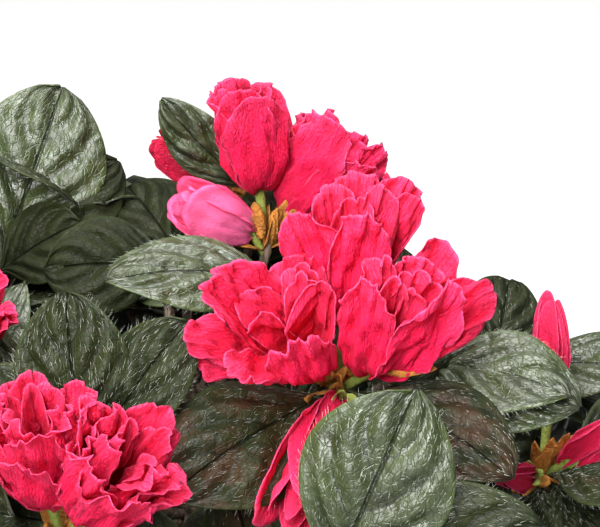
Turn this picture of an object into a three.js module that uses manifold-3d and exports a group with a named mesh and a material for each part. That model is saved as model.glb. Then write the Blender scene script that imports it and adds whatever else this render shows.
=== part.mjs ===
// An azalea shrub in flower, grown as a low dome in a plain clay pot. Millimetres, +Z up.
// The origin is the middle of the pot's flat underside, and -Y is the side that is looked at.
//
// The plant is built the way it grows. A short trunk with a root flare stands on the potting
// soil and carries tapering boughs. Each bough ends at a mass of foliage: one stem, the twigs
// that branch from it, and at each twig's end a shoot with a whorl of leaves under its blooms.
import * as THREE from "three";
import { mergeVertices } from "three/addons/utils/BufferGeometryUtils.js";
import Module from "manifold-3d";

const wasm = await Module();
wasm.setup();

// Driving dimensions
const TOUCH_GAP = 0.3;

const POT_HEIGHT = 120;
const POT_RIM_RADIUS = 72;
const POT_RIM_HEIGHT = 26;
const POT_RIM_STEP = 3.5;
const POT_FOOT_RADIUS = 49;
const POT_WALL = 5.5;
const POT_FLOOR = 8;
const DRAIN_HOLES = 3;
const DRAIN_HOLE_RADIUS = 5;
const DRAIN_HOLES_OUT = 26;
const DRAIN_HOLE_SIDES = 10;
const POT_SIDES = 32;

const SOIL_LEVEL = 106;
const SOIL_DISH = 2.5;
const TRUNK_SEAT_RADIUS = 20;

const TRUNK_HEIGHT = 88;
const TRUNK_LEAN = [7, -5];
const TRUNK_RADIUS = 7.5;
const TRUNK_TIP_RADIUS = 3.2;
const ROOT_FLARE = 0.8;
const ROOT_FLARE_HEIGHT = 14;
const ROOT_LOBES = 5;

const BOUGH_BASE_RADIUS = 4.2;
const BOUGH_TIP_RADIUS = 2.5;
const BOUGH_REACH = 0.5;
const BOUGH_SIDES = 6;
const BOUGH_STEPS = 4;

const STEM_REACH = 0.7;
const STEM_RADIUS = 2.4;
const TWIG_RADIUS = 2;
const TWIG_TIP_RADIUS = 1.8;
const TWIG_SIDES = 3;
const TWIG_ROOM = 0.6;
const NEAREST_ELBOW = 14;

// The shell that the shoots' tips lie on
const CROWN_CENTRE = new THREE.Vector3(0, 0, 212);
const CROWN_RADIUS = 100;
const CROWN_RISE = 85;
const CROWN_DROP = 48;
const AXIS_DROP = 70;
const CROWN_SHOOTS = 64;
const LOWEST_SHOOT = -0.85;
const SHOOT_CLEARANCE = 30;
const SHOOT_TURN_JITTER = 0.25;
const SHOOT_DEPTH = [0.93, 0.1];
const BORDER_MARGIN = 11;
const GOLDEN_ANGLE = 2.399963;

// Leaves stand in a whorl that climbs the twig. A leaf that has no room tries each change of
// turn and tilt in LEAF_TRIES. Pairs are a least value and a spread.
const SHOOT_LENGTH = 18;
const LEAVES_DRAWN = 12;
const LEAVES_BUILT = 7;
const LEAF_LENGTH = 47;
const LEAF_SIZES = [0.82, 0.3];
const SHOWN_SHOOT_SHARE = 0.9;
const LEAF_TILT = [1, 0.5];
const LEAF_TILT_JITTER = 0.35;
const LEAF_TURN_JITTER = 0.5;
const LEAF_DROOP = 0.08;
const LEAF_FOOT = 2;
const LEAF_TRIES = [[0, 0], [0.35, 0], [-0.35, 0], [0, -0.3], [0.3, -0.35]];
const LEAF_WIDTH_SHARE = 0.58;
const LEAF_THICKNESS = 1.8;
const LEAF_ARCH = 0.07;
const LEAF_SHOULDER = [0.56, 0.5, 0.8];
const LEAF_END = [0.98, 0.17, -0.3];
const LEAF_MIDDLE = 0.52;
const LEAF_SINK = 0.4;
const LEAF_CLEARANCE = 7;
const BLOOM_CLEARANCE = 14;
const POT_CLEARANCE = 8;
const LOWEST_LEAF = 90;
const AWAY_FROM_VIEWER = -0.05;
const LEAF_STEP = 2.2;
const MOST_SHARED = 1.5;

// Blooms stand in threes, in twos or as pairs of buds. A bloom that has no room tries each
// change of turn with the lean beside it in BLOOM_TRIES. A ring is a share of the bloom's radius,
// a share of its length and how much it is ruffled.
const BLOOM_LENGTH = 32;
const BLOOM_RADIUS = 17;
const BLOOM_MIDDLE = 0.58;
const BLOOM_SIDES = 7;
const BLOOM_SPACING = 24;
const BUD_SPACING = 13;
const BLOOM_SIZES = [0.92, 0.2];
const CUP_RINGS = [[0.15, 0.1, 0], [0.82, 0.52, 0], [1, 0.96, 1]];
const CUP_FLOOR = 0.72;
const RUFFLES = 3;
const RUFFLE_HEIGHT = 2;
const RUFFLE_REACH = 0.1;
const PEDICEL_LENGTH = 10;
const STALK_FOOT = [2.5, 1.3];
const BUD_LENGTH = 24;
const BUD_RADIUS = 7.5;
const BUD_RINGS = [[0.29, -0.5, 0], [1, 0, 0]];
const BUD_END = [0.45, 0.42, 0.3];
const CLOSED_END = [0.75, 0.42, 0.3];
const CLOSED_SHARE = 1.5;
const THREES_SHARE = 0.26;
const OPEN_SHARE = 0.5;
const FLOWERING_SHARE = 0.62;
const BLOOM_TURN_JITTER = 0.5;
const BLOOM_TRIES = [[0, 0.62], [0.6, 0.62], [-0.6, 0.62], [0, 0.3], [1.5, 0.45], [3, 0.45]];

// The middles of the foliage masses' spaces. A point of the crown belongs to the nearest one.
// rise is the height on the trunk at which the mass's bough leaves it.
const MASSES = [
  { name: "foliage_crown_top", middle: [0, 50, 300], rise: TRUNK_HEIGHT },
  { name: "foliage_front", middle: [32, -62, 262], rise: 66 },
  { name: "foliage_right", middle: [128, 8, 228], rise: 60 },
  { name: "foliage_back_right", middle: [60, 100, 240], rise: 70 },
  { name: "foliage_back_left", middle: [-50, 100, 240], rise: 54 },
  { name: "foliage_left", middle: [-150, 30, 240], rise: 62 },
  { name: "foliage_low_front", middle: [10, -95, 120], rise: 34 },
  { name: "foliage_low_right", middle: [110, 10, 145], rise: 40 },
  { name: "foliage_low_back", middle: [0, 105, 145], rise: 28 },
  { name: "foliage_low_left", middle: [-110, 0, 140], rise: 24 },
];

// The shoots that face the viewer. tip is the twig's end, each leaf has its own tip, the way its
// upper face looks and its width, and each bloom has its middle, its size and its form.
const SHOWN_SHOOTS = [
  {
    name: "centre",
    tip: [48, -53, 270],
    leaves: [
      { tip: [5, -91, 258], face: [-0.25, -0.8, 0.55], width: 35 },
      { tip: [88, -90, 263], face: [0.25, -0.62, 0.74], width: 32 },
    ],
    blooms: [
      { middle: [31, -69, 293], size: 1.05, form: "cup" },
      { middle: [66, -67, 293], size: 1.16, form: "cup" },
      { middle: [52, -48, 309], size: 1.16, form: "cup" },
      { middle: [40, -79, 259], size: 1.5, form: "bud" },
      { middle: [45, -72, 264], size: 1.1, form: "bud" },
    ],
  },
  {
    name: "right_of_centre",
    tip: [66, -38, 271],
    leaves: [
      { tip: [105, -62, 272], face: [0.1, -0.5, 0.86], width: 30 },
      { tip: [107, -63, 270], face: [0.1, -0.75, 0.65], width: 30 },
      { tip: [86, -66, 224], face: [0.1, -0.85, 0.5], width: 30 },
    ],
    blooms: [],
  },
  {
    name: "behind_centre",
    tip: [38, -21, 286],
    leaves: [
      { tip: [-12, -42, 298], face: [-0.05, -0.5, 0.87], width: 27 },
      { tip: [70, -2, 291], face: [0.3, 0.1, 0.95], width: 24 },
    ],
    blooms: [],
  },
  {
    name: "lower_left",
    tip: [-22, -92, 243],
    leaves: [
      { tip: [-58, -112, 250], face: [-0.3, -0.5, 0.8], width: 27 },
      { tip: [-30, -128, 220], face: [-0.1, -0.9, 0.42], width: 27 },
    ],
    blooms: [
      { middle: [-25, -101, 275], size: 0.98, form: "cup" },
      { middle: [-6, -106, 270], size: 1.02, form: "cup" },
    ],
  },
  {
    name: "left_leafy",
    tip: [-17, -72, 255],
    leaves: [
      { tip: [-23, -58, 297], face: [-0.1, -0.88, 0.46], width: 29 },
      { tip: [8, -62, 291], face: [-0.35, -0.82, 0.45], width: 26 },
      { tip: [-50, -66, 276], face: [-0.5, -0.5, 0.7], width: 26 },
    ],
    blooms: [],
  },
  {
    name: "low_centre",
    tip: [44, -101, 235],
    leaves: [
      { tip: [63, -105, 287], face: [-0.08, -0.93, 0.36], width: 38 },
      { tip: [9, -108, 236], face: [-0.35, -0.75, 0.56], width: 28 },
      { tip: [94, -110, 256], face: [0.2, -0.8, 0.57], width: 33 },
      { tip: [95, -102, 239], face: [0.35, -0.65, 0.67], width: 28 },
      { tip: [50, -140, 205], face: [0, -0.85, 0.52], width: 28 },
    ],
    blooms: [],
  },
  {
    name: "top",
    tip: [28, 14, 289],
    leaves: [
      { tip: [58, 50, 306], face: [0.3, 0.4, 0.85], width: 26 },
      { tip: [10, 55, 306], face: [-0.2, 0.5, 0.85], width: 26 },
      { tip: [31, 38, 305], face: [0, -0.6, 0.8], width: 18 },
    ],
    blooms: [
      { middle: [22, 16, 322], size: 1.03, form: "cup" },
      { middle: [46, 23, 308], size: 1, form: "cup" },
      { middle: [13, 9, 297], size: 1, form: "closed" },
    ],
  },
  {
    name: "mid_left",
    tip: [6, 1, 285],
    leaves: [
      { tip: [-34, -4, 287], face: [-0.25, -0.75, 0.6], width: 30 },
      { tip: [-14, 30, 302], face: [-0.4, 0.1, 0.9], width: 26 },
    ],
    blooms: [],
  },
  {
    name: "upper_left",
    tip: [-52, 12, 280],
    leaves: [
      { tip: [-16, 27, 309], face: [0, -0.85, 0.53], width: 31 },
      { tip: [-26, 5, 297], face: [-0.05, -0.7, 0.7], width: 26 },
      { tip: [-80, 30, 302], face: [-0.4, -0.2, 0.9], width: 25 },
      { tip: [-32, 35, 329], face: [0.1, -0.9, 0.4], width: 40 },
    ],
    blooms: [],
  },
  {
    name: "left_edge",
    tip: [-58, -42, 264],
    leaves: [
      { tip: [-78, -84, 256], face: [-0.3, -0.7, 0.65], width: 27 },
    ],
    blooms: [
      { middle: [-52, -50, 289], size: 0.9, form: "cup" },
    ],
  },
  {
    name: "right_buds",
    tip: [105, -34, 236],
    leaves: [
      { tip: [132, -62, 245], face: [0.4, -0.5, 0.77], width: 27 },
      { tip: [124, -66, 222], face: [0.4, -0.7, 0.6], width: 26 },
      { tip: [92, -72, 217], face: [-0.1, -0.75, 0.65], width: 26 },
      { tip: [134, -46, 226], face: [0.5, -0.5, 0.7], width: 26 },
    ],
    blooms: [
      { middle: [106, -18, 266], size: 1.1, form: "bud" },
      { middle: [117, -38, 248], size: 0.95, form: "bud" },
      { middle: [94, -50, 243], size: 0.75, form: "bud" },
    ],
  },
  {
    name: "right_rear",
    tip: [94, 6, 250],
    leaves: [
      { tip: [132, -14, 262], face: [0.35, -0.45, 0.82], width: 28 },
      { tip: [136, -2, 240], face: [0.5, -0.3, 0.8], width: 27 },
      { tip: [101, 37, 271], face: [0.3, -0.4, 0.86], width: 24 },
    ],
    blooms: [],
  },
  {
    name: "top_rear",
    tip: [26, 30, 299],
    leaves: [
      { tip: [-2, 20, 327], face: [-0.5, -0.65, 0.57], width: 17 },
    ],
    blooms: [
      { middle: [5, 34, 307], size: 0.95, form: "closed" },
    ],
  },
];

// The front view: where it looks, from how far and how steeply, how far right, up and down it
// shows the crown and how near its shown leaves are. Behind RIDGE_DEPTH the crown falls away.
const LOOK_AT = [37, -62, 306];
const LOOK_FAR = 520;
const LOOK_DOWN = THREE.MathUtils.degToRad(18);
const SHOWN_RIGHT = 75;
const SHOWN_UP = 66;
const SHOWN_LOW = -52;
const SHOWN_DEPTH = 575;
const RIDGE_DEPTH = 620;
const BLOOM_SIGHT_RADIUS = 17;
const BLOOM_SIGHT_DEPTH = 4;

// The crown's outline in that view, as places right of and above its middle
const SKYLINE = [
  [-75, 51], [-60, 47], [-46, 28], [-35, 20], [-24, 18], [-2.5, 16],
  [22.5, 6], [32.5, 3], [47.5, -7], [57.5, -14], [75, -17],
];

// Colours
const LEAF_GREEN = 0x35462f;
const BARK_BROWN = 0x6b5444;
const CLAY = 0xb4694a;
const PEAT = 0x33261d;

// A repeatable draw of numbers from 0 to 1
function draws(seed) {
  let state = seed;
  return () => {
    state = (state * 1664525 + 1013904223) % 4294967296;
    return state / 4294967296;
  };
}

const vec = (a) => new THREE.Vector3(...a);
const along = (from, way, far) => from.clone().addScaledVector(way, far);
const between = (a, b, share) => a.clone().lerp(b, share);

// Two directions across an axis
function across(axis) {
  const aside = Math.abs(axis.z) > 0.95 ? new THREE.Vector3(1, 0, 0) : new THREE.Vector3(0, 0, 1);
  const u = aside.cross(axis).normalize();
  return [u, axis.clone().cross(u)];
}

// Solids

function solidOf(geometry) {
  const bare = new THREE.BufferGeometry().setAttribute("position", geometry.getAttribute("position"));
  if (geometry.index) bare.setIndex(geometry.index);
  const merged = mergeVertices(bare, 1e-3);
  return new wasm.Manifold(
    new wasm.Mesh({
      numProp: 3,
      vertProperties: merged.attributes.position.array,
      triVerts: new Uint32Array(merged.index.array),
    }),
  );
}

// The largest closed body, without loose scraps or sealed hollows
function largestBody(solid) {
  return solid.decompose().reduce((best, body) => (body.volume() > best.volume() ? body : best));
}

function meshOf(name, solid, color, roughness) {
  const made = solid.getMesh();
  const geometry = new THREE.BufferGeometry();
  geometry.setAttribute("position", new THREE.BufferAttribute(new Float32Array(made.vertProperties), 3));
  geometry.setIndex(new THREE.BufferAttribute(made.triVerts, 1));
  geometry.computeVertexNormals();
  const mesh = new THREE.Mesh(geometry, new THREE.MeshStandardMaterial({ color, roughness, metalness: 0 }));
  mesh.name = name;
  return mesh;
}

// A tapering limb: a cylinder whose rings are moved onto the path. startWay squares its first
// ring, and swell widens a ring's radius where the limb has roots or knots.
function limb(path, radii, sides, startWay, swell = () => 1) {
  const steps = path.length - 1;
  const geometry = new THREE.CylinderGeometry(1, 1, steps, sides, steps);
  const at = geometry.getAttribute("position");
  const ways = path.map((p, i) =>
    path[Math.min(i + 1, steps)].clone().sub(path[Math.max(i - 1, 0)]).normalize(),
  );
  if (startWay) ways[0] = startWay.clone().normalize();
  const sideways = [across(ways[0])[0]];
  for (let i = 1; i <= steps; i++) {
    const last = sideways[i - 1];
    sideways.push(last.clone().addScaledVector(ways[i], -last.dot(ways[i])).normalize());
  }
  for (let k = 0; k < at.count; k++) {
    const ring = Math.round(at.getY(k) + steps / 2);
    const u = sideways[ring];
    const v = ways[ring].clone().cross(u);
    const turn = Math.atan2(at.getX(k), at.getZ(k));
    const reach = Math.hypot(at.getX(k), at.getZ(k)) * radii[ring] * swell(ring, turn);
    const spot = path[ring].clone();
    spot.addScaledVector(u, reach * Math.cos(turn)).addScaledVector(v, reach * Math.sin(turn));
    at.setXYZ(k, spot.x, spot.y, spot.z);
  }
  return solidOf(geometry);
}

// A closed solid from rings of points, each ring joined to the next and the ends to one point
function ringed(firstPoint, rings, lastPoint) {
  const sides = rings[0].length;
  const points = [firstPoint, ...rings.flat(), lastPoint];
  const last = points.length - 1;
  const faces = [];
  for (let i = 0; i < sides; i++) {
    const j = (i + 1) % sides;
    faces.push(0, 1 + j, 1 + i);
    for (let r = 1; r < rings.length; r++) {
      const low = 1 + (r - 1) * sides;
      const high = low + sides;
      faces.push(low + i, low + j, high + j, low + i, high + j, high + i);
    }
    faces.push(last - sides + i, last - sides + j, last);
  }
  const geometry = new THREE.BufferGeometry().setFromPoints(points);
  geometry.setIndex(faces);
  return solidOf(geometry);
}

// Pot and soil

function clayPot() {
  const shoulder = POT_HEIGHT - POT_RIM_HEIGHT;
  const slope = (POT_RIM_RADIUS - POT_RIM_STEP - POT_FOOT_RADIUS) / POT_HEIGHT;
  const outer = (z) => POT_FOOT_RADIUS + slope * z;
  const profile = [
    [0, 0],
    [outer(0) - 1, 0],
    [outer(1), 1],
    [outer(shoulder), shoulder],
    [outer(shoulder) + POT_RIM_STEP, shoulder + 1.5],
    [POT_RIM_RADIUS, POT_HEIGHT - 1.5],
    [POT_RIM_RADIUS - 1.5, POT_HEIGHT],
    [outer(POT_HEIGHT) - POT_WALL + 1, POT_HEIGHT],
    [outer(POT_HEIGHT) - POT_WALL, POT_HEIGHT - 1],
    [outer(POT_FLOOR) - POT_WALL, POT_FLOOR],
    [0, POT_FLOOR],
  ].map(([r, z]) => new THREE.Vector2(r, z));
  let pot = solidOf(new THREE.LatheGeometry(profile, POT_SIDES).rotateX(Math.PI / 2));
  for (let i = 0; i < DRAIN_HOLES; i++) {
    const turn = (i * 2 * Math.PI) / DRAIN_HOLES + Math.PI / 2;
    const drill = new THREE.CylinderGeometry(
      DRAIN_HOLE_RADIUS,
      DRAIN_HOLE_RADIUS,
      3 * POT_FLOOR,
      DRAIN_HOLE_SIDES,
    );
    drill.rotateX(Math.PI / 2);
    drill.translate(DRAIN_HOLES_OUT * Math.cos(turn), DRAIN_HOLES_OUT * Math.sin(turn), 0);
    pot = pot.subtract(solidOf(drill));
  }
  return pot;
}

function pottingSoil() {
  const slope = (POT_RIM_RADIUS - POT_RIM_STEP - POT_FOOT_RADIUS) / POT_HEIGHT;
  const wall = (z) => POT_FOOT_RADIUS + slope * z - POT_WALL - TOUCH_GAP - 0.1;
  const floor = POT_FLOOR + TOUCH_GAP;
  const edge = SOIL_LEVEL - SOIL_DISH;
  const profile = [
    [0, floor],
    [wall(floor), floor],
    [wall(edge), edge],
    [TRUNK_SEAT_RADIUS, SOIL_LEVEL],
    [0, SOIL_LEVEL],
  ].map(([r, z]) => new THREE.Vector2(r, z));
  return solidOf(new THREE.LatheGeometry(profile, POT_SIDES).rotateX(Math.PI / 2));
}

// Trunk and boughs

// The trunk's middle at a height above the soil
function trunkAt(height) {
  const share = height / TRUNK_HEIGHT;
  const sway = Math.sin(share * Math.PI) * 2;
  return new THREE.Vector3(
    TRUNK_LEAN[0] * share * share + sway,
    TRUNK_LEAN[1] * share * share,
    SOIL_LEVEL + TOUCH_GAP + height,
  );
}

function trunk(grow = 0) {
  const heights = [0, 4, 9, ROOT_FLARE_HEIGHT + 4, 30, 44, 58, 72, TRUNK_HEIGHT];
  const radii = heights.map((h) => {
    const taper = THREE.MathUtils.lerp(TRUNK_RADIUS, TRUNK_TIP_RADIUS, (h / TRUNK_HEIGHT) ** 1.3);
    return taper + grow;
  });
  const flare = (ring, turn) => {
    const left = Math.max(0, 1 - heights[ring] / ROOT_FLARE_HEIGHT) ** 2;
    return 1 + ROOT_FLARE * left * (0.75 + 0.4 * Math.cos(ROOT_LOBES * turn));
  };
  return limb(heights.map(trunkAt), radii, 2 * ROOT_LOBES, new THREE.Vector3(0, 0, 1), flare);
}

// A bough leaves the trunk nearly level and turns up to half way to its mass's heart
function boughPath(mass) {
  const start = trunkAt(mass.rise);
  const end = between(start, mass.heart, BOUGH_REACH);
  const bend = between(start, end, 0.55);
  bend.z -= 0.12 * start.distanceTo(end);
  const curve = new THREE.QuadraticBezierCurve3(start, bend, end);
  return { points: curve.getPoints(BOUGH_STEPS), way: curve.getTangent(1) };
}

function bough(mass, grow = 0) {
  const { points } = boughPath(mass);
  const radii = points.map((p, i) =>
    THREE.MathUtils.lerp(BOUGH_BASE_RADIUS, BOUGH_TIP_RADIUS, i / BOUGH_STEPS) + grow,
  );
  return limb(points, radii, BOUGH_SIDES);
}

// Where a mass's stem begins, and the way it sets out
function stemStart(mass) {
  if (mass.rise === TRUNK_HEIGHT) {
    const way = trunkAt(TRUNK_HEIGHT).sub(trunkAt(TRUNK_HEIGHT - 16)).normalize();
    return { start: trunkAt(TRUNK_HEIGHT), way };
  }
  const { points, way } = boughPath(mass);
  return { start: points[BOUGH_STEPS], way };
}

// The front view

const VIEWER = new THREE.Vector3(0, -Math.cos(LOOK_DOWN), Math.sin(LOOK_DOWN));
const VIEW_UP = new THREE.Vector3(0, Math.sin(LOOK_DOWN), Math.cos(LOOK_DOWN));
const VIEW_PLACE = along(vec(LOOK_AT), VIEWER, LOOK_FAR);

// How far right, up and away a point is seen, at the distance looked at
function sight(point) {
  const away = point.clone().sub(VIEW_PLACE);
  const depth = -away.dot(VIEWER);
  const scale = LOOK_FAR / depth;
  return { right: away.x * scale, up: away.dot(VIEW_UP) * scale, depth };
}

const SHOWN_BLOOMS = SHOWN_SHOOTS.flatMap(({ blooms }) => blooms.map((b) => sight(vec(b.middle))));

function isUnderSkyline(right, up, margin = 0) {
  const next = SKYLINE.findIndex(([place]) => place > right);
  if (next < 1) return true;
  const [[a, low], [b, high]] = [SKYLINE[next - 1], SKYLINE[next]];
  return up + margin < low + ((high - low) * (right - a)) / (b - a);
}

// Whether a bloom would stand where the viewer sees the crown without one
function isShownBare({ middle, size }) {
  const { right, up, depth } = sight(middle);
  const reach = (BLOOM_SIGHT_RADIUS * size * LOOK_FAR) / depth;
  if (Math.abs(right) > SHOWN_RIGHT + reach || up < -SHOWN_UP - reach) return false;
  return depth < RIDGE_DEPTH || !isUnderSkyline(right, up, reach);
}

// Whether a leaf would hide a shown piece from the viewer or stand up against the background
function isInTheWay(spot, shoot) {
  const { right, up, depth } = sight(spot);
  if (!isUnderSkyline(right, up)) return true;
  const isFramed = Math.abs(right) < SHOWN_RIGHT && up > SHOWN_LOW && up < SHOWN_UP;
  if (!shoot.shown && isFramed && depth < SHOWN_DEPTH) return true;
  return SHOWN_BLOOMS.some(
    (b) =>
      Math.hypot(right - b.right, up - b.up) < BLOOM_SIGHT_RADIUS &&
      depth < b.depth + BLOOM_SIGHT_DEPTH,
  );
}

// The rule for shoots, leaves and blooms

function outwardOn(shell) {
  const rel = shell.clone().sub(CROWN_CENTRE);
  const rise = rel.z > 0 ? CROWN_RISE : AXIS_DROP;
  return new THREE.Vector3(
    rel.x / CROWN_RADIUS ** 2,
    rel.y / CROWN_RADIUS ** 2,
    rel.z / rise ** 2,
  ).normalize();
}

function massOf(point) {
  const far = (mass) => vec(mass.middle).distanceTo(point);
  return MASSES.reduce((best, mass) => (far(mass) < far(best) ? mass : best));
}

// How far a point is from each border of a mass's space, and the way to that border
function borders(point, mass) {
  const own = vec(mass.middle);
  return MASSES.filter((other) => other !== mass).map((other) => {
    const way = vec(other.middle).sub(own);
    const half = way.length() / 2;
    way.normalize();
    return { way, far: half - point.clone().sub(own).dot(way) };
  });
}

function keepOffBorders(point, mass) {
  for (const { way, far } of borders(point, mass))
    if (far < BORDER_MARGIN) point.addScaledVector(way, far - BORDER_MARGIN);
}

const staysInSpace = (points, mass) =>
  points.every((point) => borders(point, mass).every(({ far }) => far > TOUCH_GAP));

// The shown shoots first, then shoots spaced by the golden angle where none is shown
function allShoots() {
  const shoots = SHOWN_SHOOTS.map((shown, index) => {
    const tip = vec(shown.tip);
    return { index, tip, axis: outwardOn(tip), shown, mass: massOf(tip) };
  });
  for (let i = 0; i < CROWN_SHOOTS; i++) {
    const next = draws(500 + 13 * i);
    const height = 1 - ((i + 0.5) / CROWN_SHOOTS) * (1 - LOWEST_SHOOT);
    const turn = i * GOLDEN_ANGLE + (next() - 0.5) * SHOOT_TURN_JITTER;
    const depth = SHOOT_DEPTH[0] + SHOOT_DEPTH[1] * next();
    const wide = Math.sqrt(1 - height * height) * CROWN_RADIUS * depth;
    const rise = (height > 0 ? CROWN_RISE : CROWN_DROP) * height * depth;
    const tip = new THREE.Vector3(wide * Math.cos(turn), wide * Math.sin(turn), rise).add(CROWN_CENTRE);
    const mass = massOf(tip);
    keepOffBorders(tip, mass);
    if (shoots.every((s) => s.tip.distanceTo(tip) > SHOOT_CLEARANCE))
      shoots.push({ index: 100 + i, tip, axis: outwardOn(tip), shown: null, mass });
  }
  return shoots;
}

// Each stalk of a shoot starts at its own depth in the twig
const stalkSink = (k) => STALK_FOOT[0] + STALK_FOOT[1] * k;

// The drawn blooms of a shoot: three, two or a pair of buds round the axis, or none. A bloom
// that doesn't fit is turned round the axis, then left out.
function drawnBlooms(shoot, taken) {
  const kind = shoot.next();
  const first = shoot.next() * Math.PI * 2;
  const spin = [shoot.next(), shoot.next(), shoot.next()];
  if (kind > FLOWERING_SHARE) return [];
  const count = kind < THREES_SHARE ? 3 : 2;
  const form = kind > OPEN_SHARE ? "bud" : "cup";
  const apart = form === "cup" ? BLOOM_SPACING : BUD_SPACING;
  const [u, v] = across(shoot.axis);
  const blooms = [];
  for (let k = 0; k < count; k++) {
    const size = BLOOM_SIZES[0] + BLOOM_SIZES[1] * spin[k];
    const evenTurn = first + (k * 2 * Math.PI) / count + (spin[k] - 0.5) * BLOOM_TURN_JITTER;
    const far = PEDICEL_LENGTH + BLOOM_MIDDLE * BLOOM_LENGTH * size;
    for (const [turned, lean] of BLOOM_TRIES) {
      const way = shoot.axis.clone().addScaledVector(u, lean * Math.cos(evenTurn + turned));
      way.addScaledVector(v, lean * Math.sin(evenTurn + turned));
      way.normalize();
      const bloom = { middle: along(shoot.tip, way, far), size, form, sunk: stalkSink(k) };
      if (isShownBare(bloom)) continue;
      const isApart = [...blooms.map((b) => b.middle), ...taken.blooms].every(
        (middle) => middle.distanceTo(bloom.middle) > apart,
      );
      if (!isApart || !staysInSpace(bloomRings(bloom, shoot).rings.flat(), shoot.mass)) continue;
      blooms.push(bloom);
      break;
    }
  }
  return blooms;
}

function leafAt(shoot, turn, tilt, back, length) {
  const [u, v] = across(shoot.axis);
  const way = shoot.axis.clone().multiplyScalar(Math.cos(tilt));
  way.addScaledVector(u, Math.sin(tilt) * Math.cos(turn));
  way.addScaledVector(v, Math.sin(tilt) * Math.sin(turn));
  way.z -= LEAF_DROOP;
  way.normalize();
  const base = along(shoot.tip, shoot.axis, -back);
  const face = shoot.axis.clone().addScaledVector(way, -shoot.axis.dot(way)).normalize();
  return { base, tip: along(base, way, length), face, width: length * LEAF_WIDTH_SHARE };
}

// Places along a leaf's outer part
const leafSpots = (leaf) => [0.45, 0.72, 0.98].map((share) => between(leaf.base, leaf.tip, share));

// A leaf has room if it keeps off the pot, the blooms, the leaves of other shoots and the view
function hasRoom(leaf, shoot, taken) {
  return leafSpots(leaf).every(
    (spot) =>
      (spot.z > POT_HEIGHT + POT_CLEARANCE || Math.hypot(spot.x, spot.y) > POT_RIM_RADIUS + POT_CLEARANCE) &&
      spot.z > LOWEST_LEAF &&
      !isInTheWay(spot, shoot) &&
      taken.blooms.every((b) => b.distanceTo(spot) > BLOOM_CLEARANCE) &&
      taken.leaves.every((l) => l.shoot === shoot || l.spot.distanceTo(spot) > LEAF_CLEARANCE),
  );
}

// The leaves of one shoot by rule. Where a leaf has no room it is turned a little, then left out.
function ruledLeaves(shoot, taken, fuse) {
  let built = 0;
  for (let k = 0; k < LEAVES_DRAWN && built < LEAVES_BUILT; k++) {
    const draw = [shoot.next(), shoot.next(), shoot.next(), shoot.next()];
    const turn = k * GOLDEN_ANGLE + (draw[0] - 0.5) * LEAF_TURN_JITTER;
    const tilt = LEAF_TILT[0] + LEAF_TILT[1] * (k / LEAVES_DRAWN) + (draw[1] - 0.5) * LEAF_TILT_JITTER;
    const back = LEAF_FOOT + LEAF_STEP * k;
    const share = LEAF_SIZES[0] + LEAF_SIZES[1] * draw[2];
    const length = LEAF_LENGTH * share * (shoot.shown ? SHOWN_SHOOT_SHARE : 1);
    for (const [turned, tilted] of LEAF_TRIES) {
      const leaf = leafAt(shoot, turn + turned, tilt + tilted, back, length);
      const way = leaf.tip.clone().sub(leaf.base).normalize();
      if (shoot.shown && way.dot(VIEWER) > AWAY_FROM_VIEWER) break;
      if (!hasRoom(leaf, shoot, taken) || !fuse(leaf)) continue;
      built += 1;
      leafSpots(leaf).forEach((spot) => taken.leaves.push({ shoot, spot }));
      break;
    }
  }
}

// Leaf: an outline of five points and a raised middle above and below, ten faces
function leafCorners(leaf) {
  const way = leaf.tip.clone().sub(leaf.base);
  const length = way.length();
  way.normalize();
  const face = leaf.face.clone().addScaledVector(way, -leaf.face.dot(way)).normalize();
  const side = face.clone().cross(way);
  const point = (share, aside, lift) =>
    along(leaf.base, way, share * length - LEAF_SINK * (1 - share))
      .addScaledVector(side, aside * leaf.width)
      .addScaledVector(face, lift);
  const arch = LEAF_ARCH * length;
  return {
    base: point(0, 0, 0),
    outline: [
      point(LEAF_SHOULDER[0], -LEAF_SHOULDER[1], arch * LEAF_SHOULDER[2]),
      point(LEAF_END[0], -LEAF_END[1], arch * LEAF_END[2]),
      point(LEAF_END[0], LEAF_END[1], arch * LEAF_END[2]),
      point(LEAF_SHOULDER[0], LEAF_SHOULDER[1], arch * LEAF_SHOULDER[2]),
    ],
    above: point(LEAF_MIDDLE, 0, arch + LEAF_THICKNESS / 2),
    below: point(LEAF_MIDDLE, 0, arch - LEAF_THICKNESS / 2),
  };
}

// Bloom: a ruffled cup on a thin stalk, or a pointed bud
function bloomRings(bloom, shoot) {
  const foot = along(shoot.tip, shoot.axis, -bloom.sunk);
  const middle = bloom.middle;
  const way = middle.clone().sub(shoot.tip).normalize();
  const [u, v] = across(way);
  const isCup = bloom.form === "cup";
  const isClosed = bloom.form === "closed";
  const length = (isCup ? BLOOM_LENGTH : BUD_LENGTH) * bloom.size;
  const radius = (isCup ? BLOOM_RADIUS : BUD_RADIUS * (isClosed ? CLOSED_SHARE : 1)) * bloom.size;
  const low = isCup ? -BLOOM_MIDDLE * length : 0;
  const ring = ([wide, high, ruffled]) =>
    Array.from({ length: BLOOM_SIDES }, (_, i) => {
      const turn = (i * 2 * Math.PI) / BLOOM_SIDES;
      const sway = ruffled * Math.cos(RUFFLES * turn);
      const centre = along(middle, way, low + high * length + sway * RUFFLE_HEIGHT);
      const reach = radius * wide * (1 + sway * RUFFLE_REACH);
      return centre.addScaledVector(u, reach * Math.cos(turn)).addScaledVector(v, reach * Math.sin(turn));
    });
  if (isCup) return { foot, rings: CUP_RINGS.map(ring), end: along(middle, way, low + CUP_FLOOR * length) };
  const rings = [...BUD_RINGS, isClosed ? CLOSED_END : BUD_END].map(ring);
  return { foot, rings, end: along(middle, way, 0.5 * length) };
}

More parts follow.
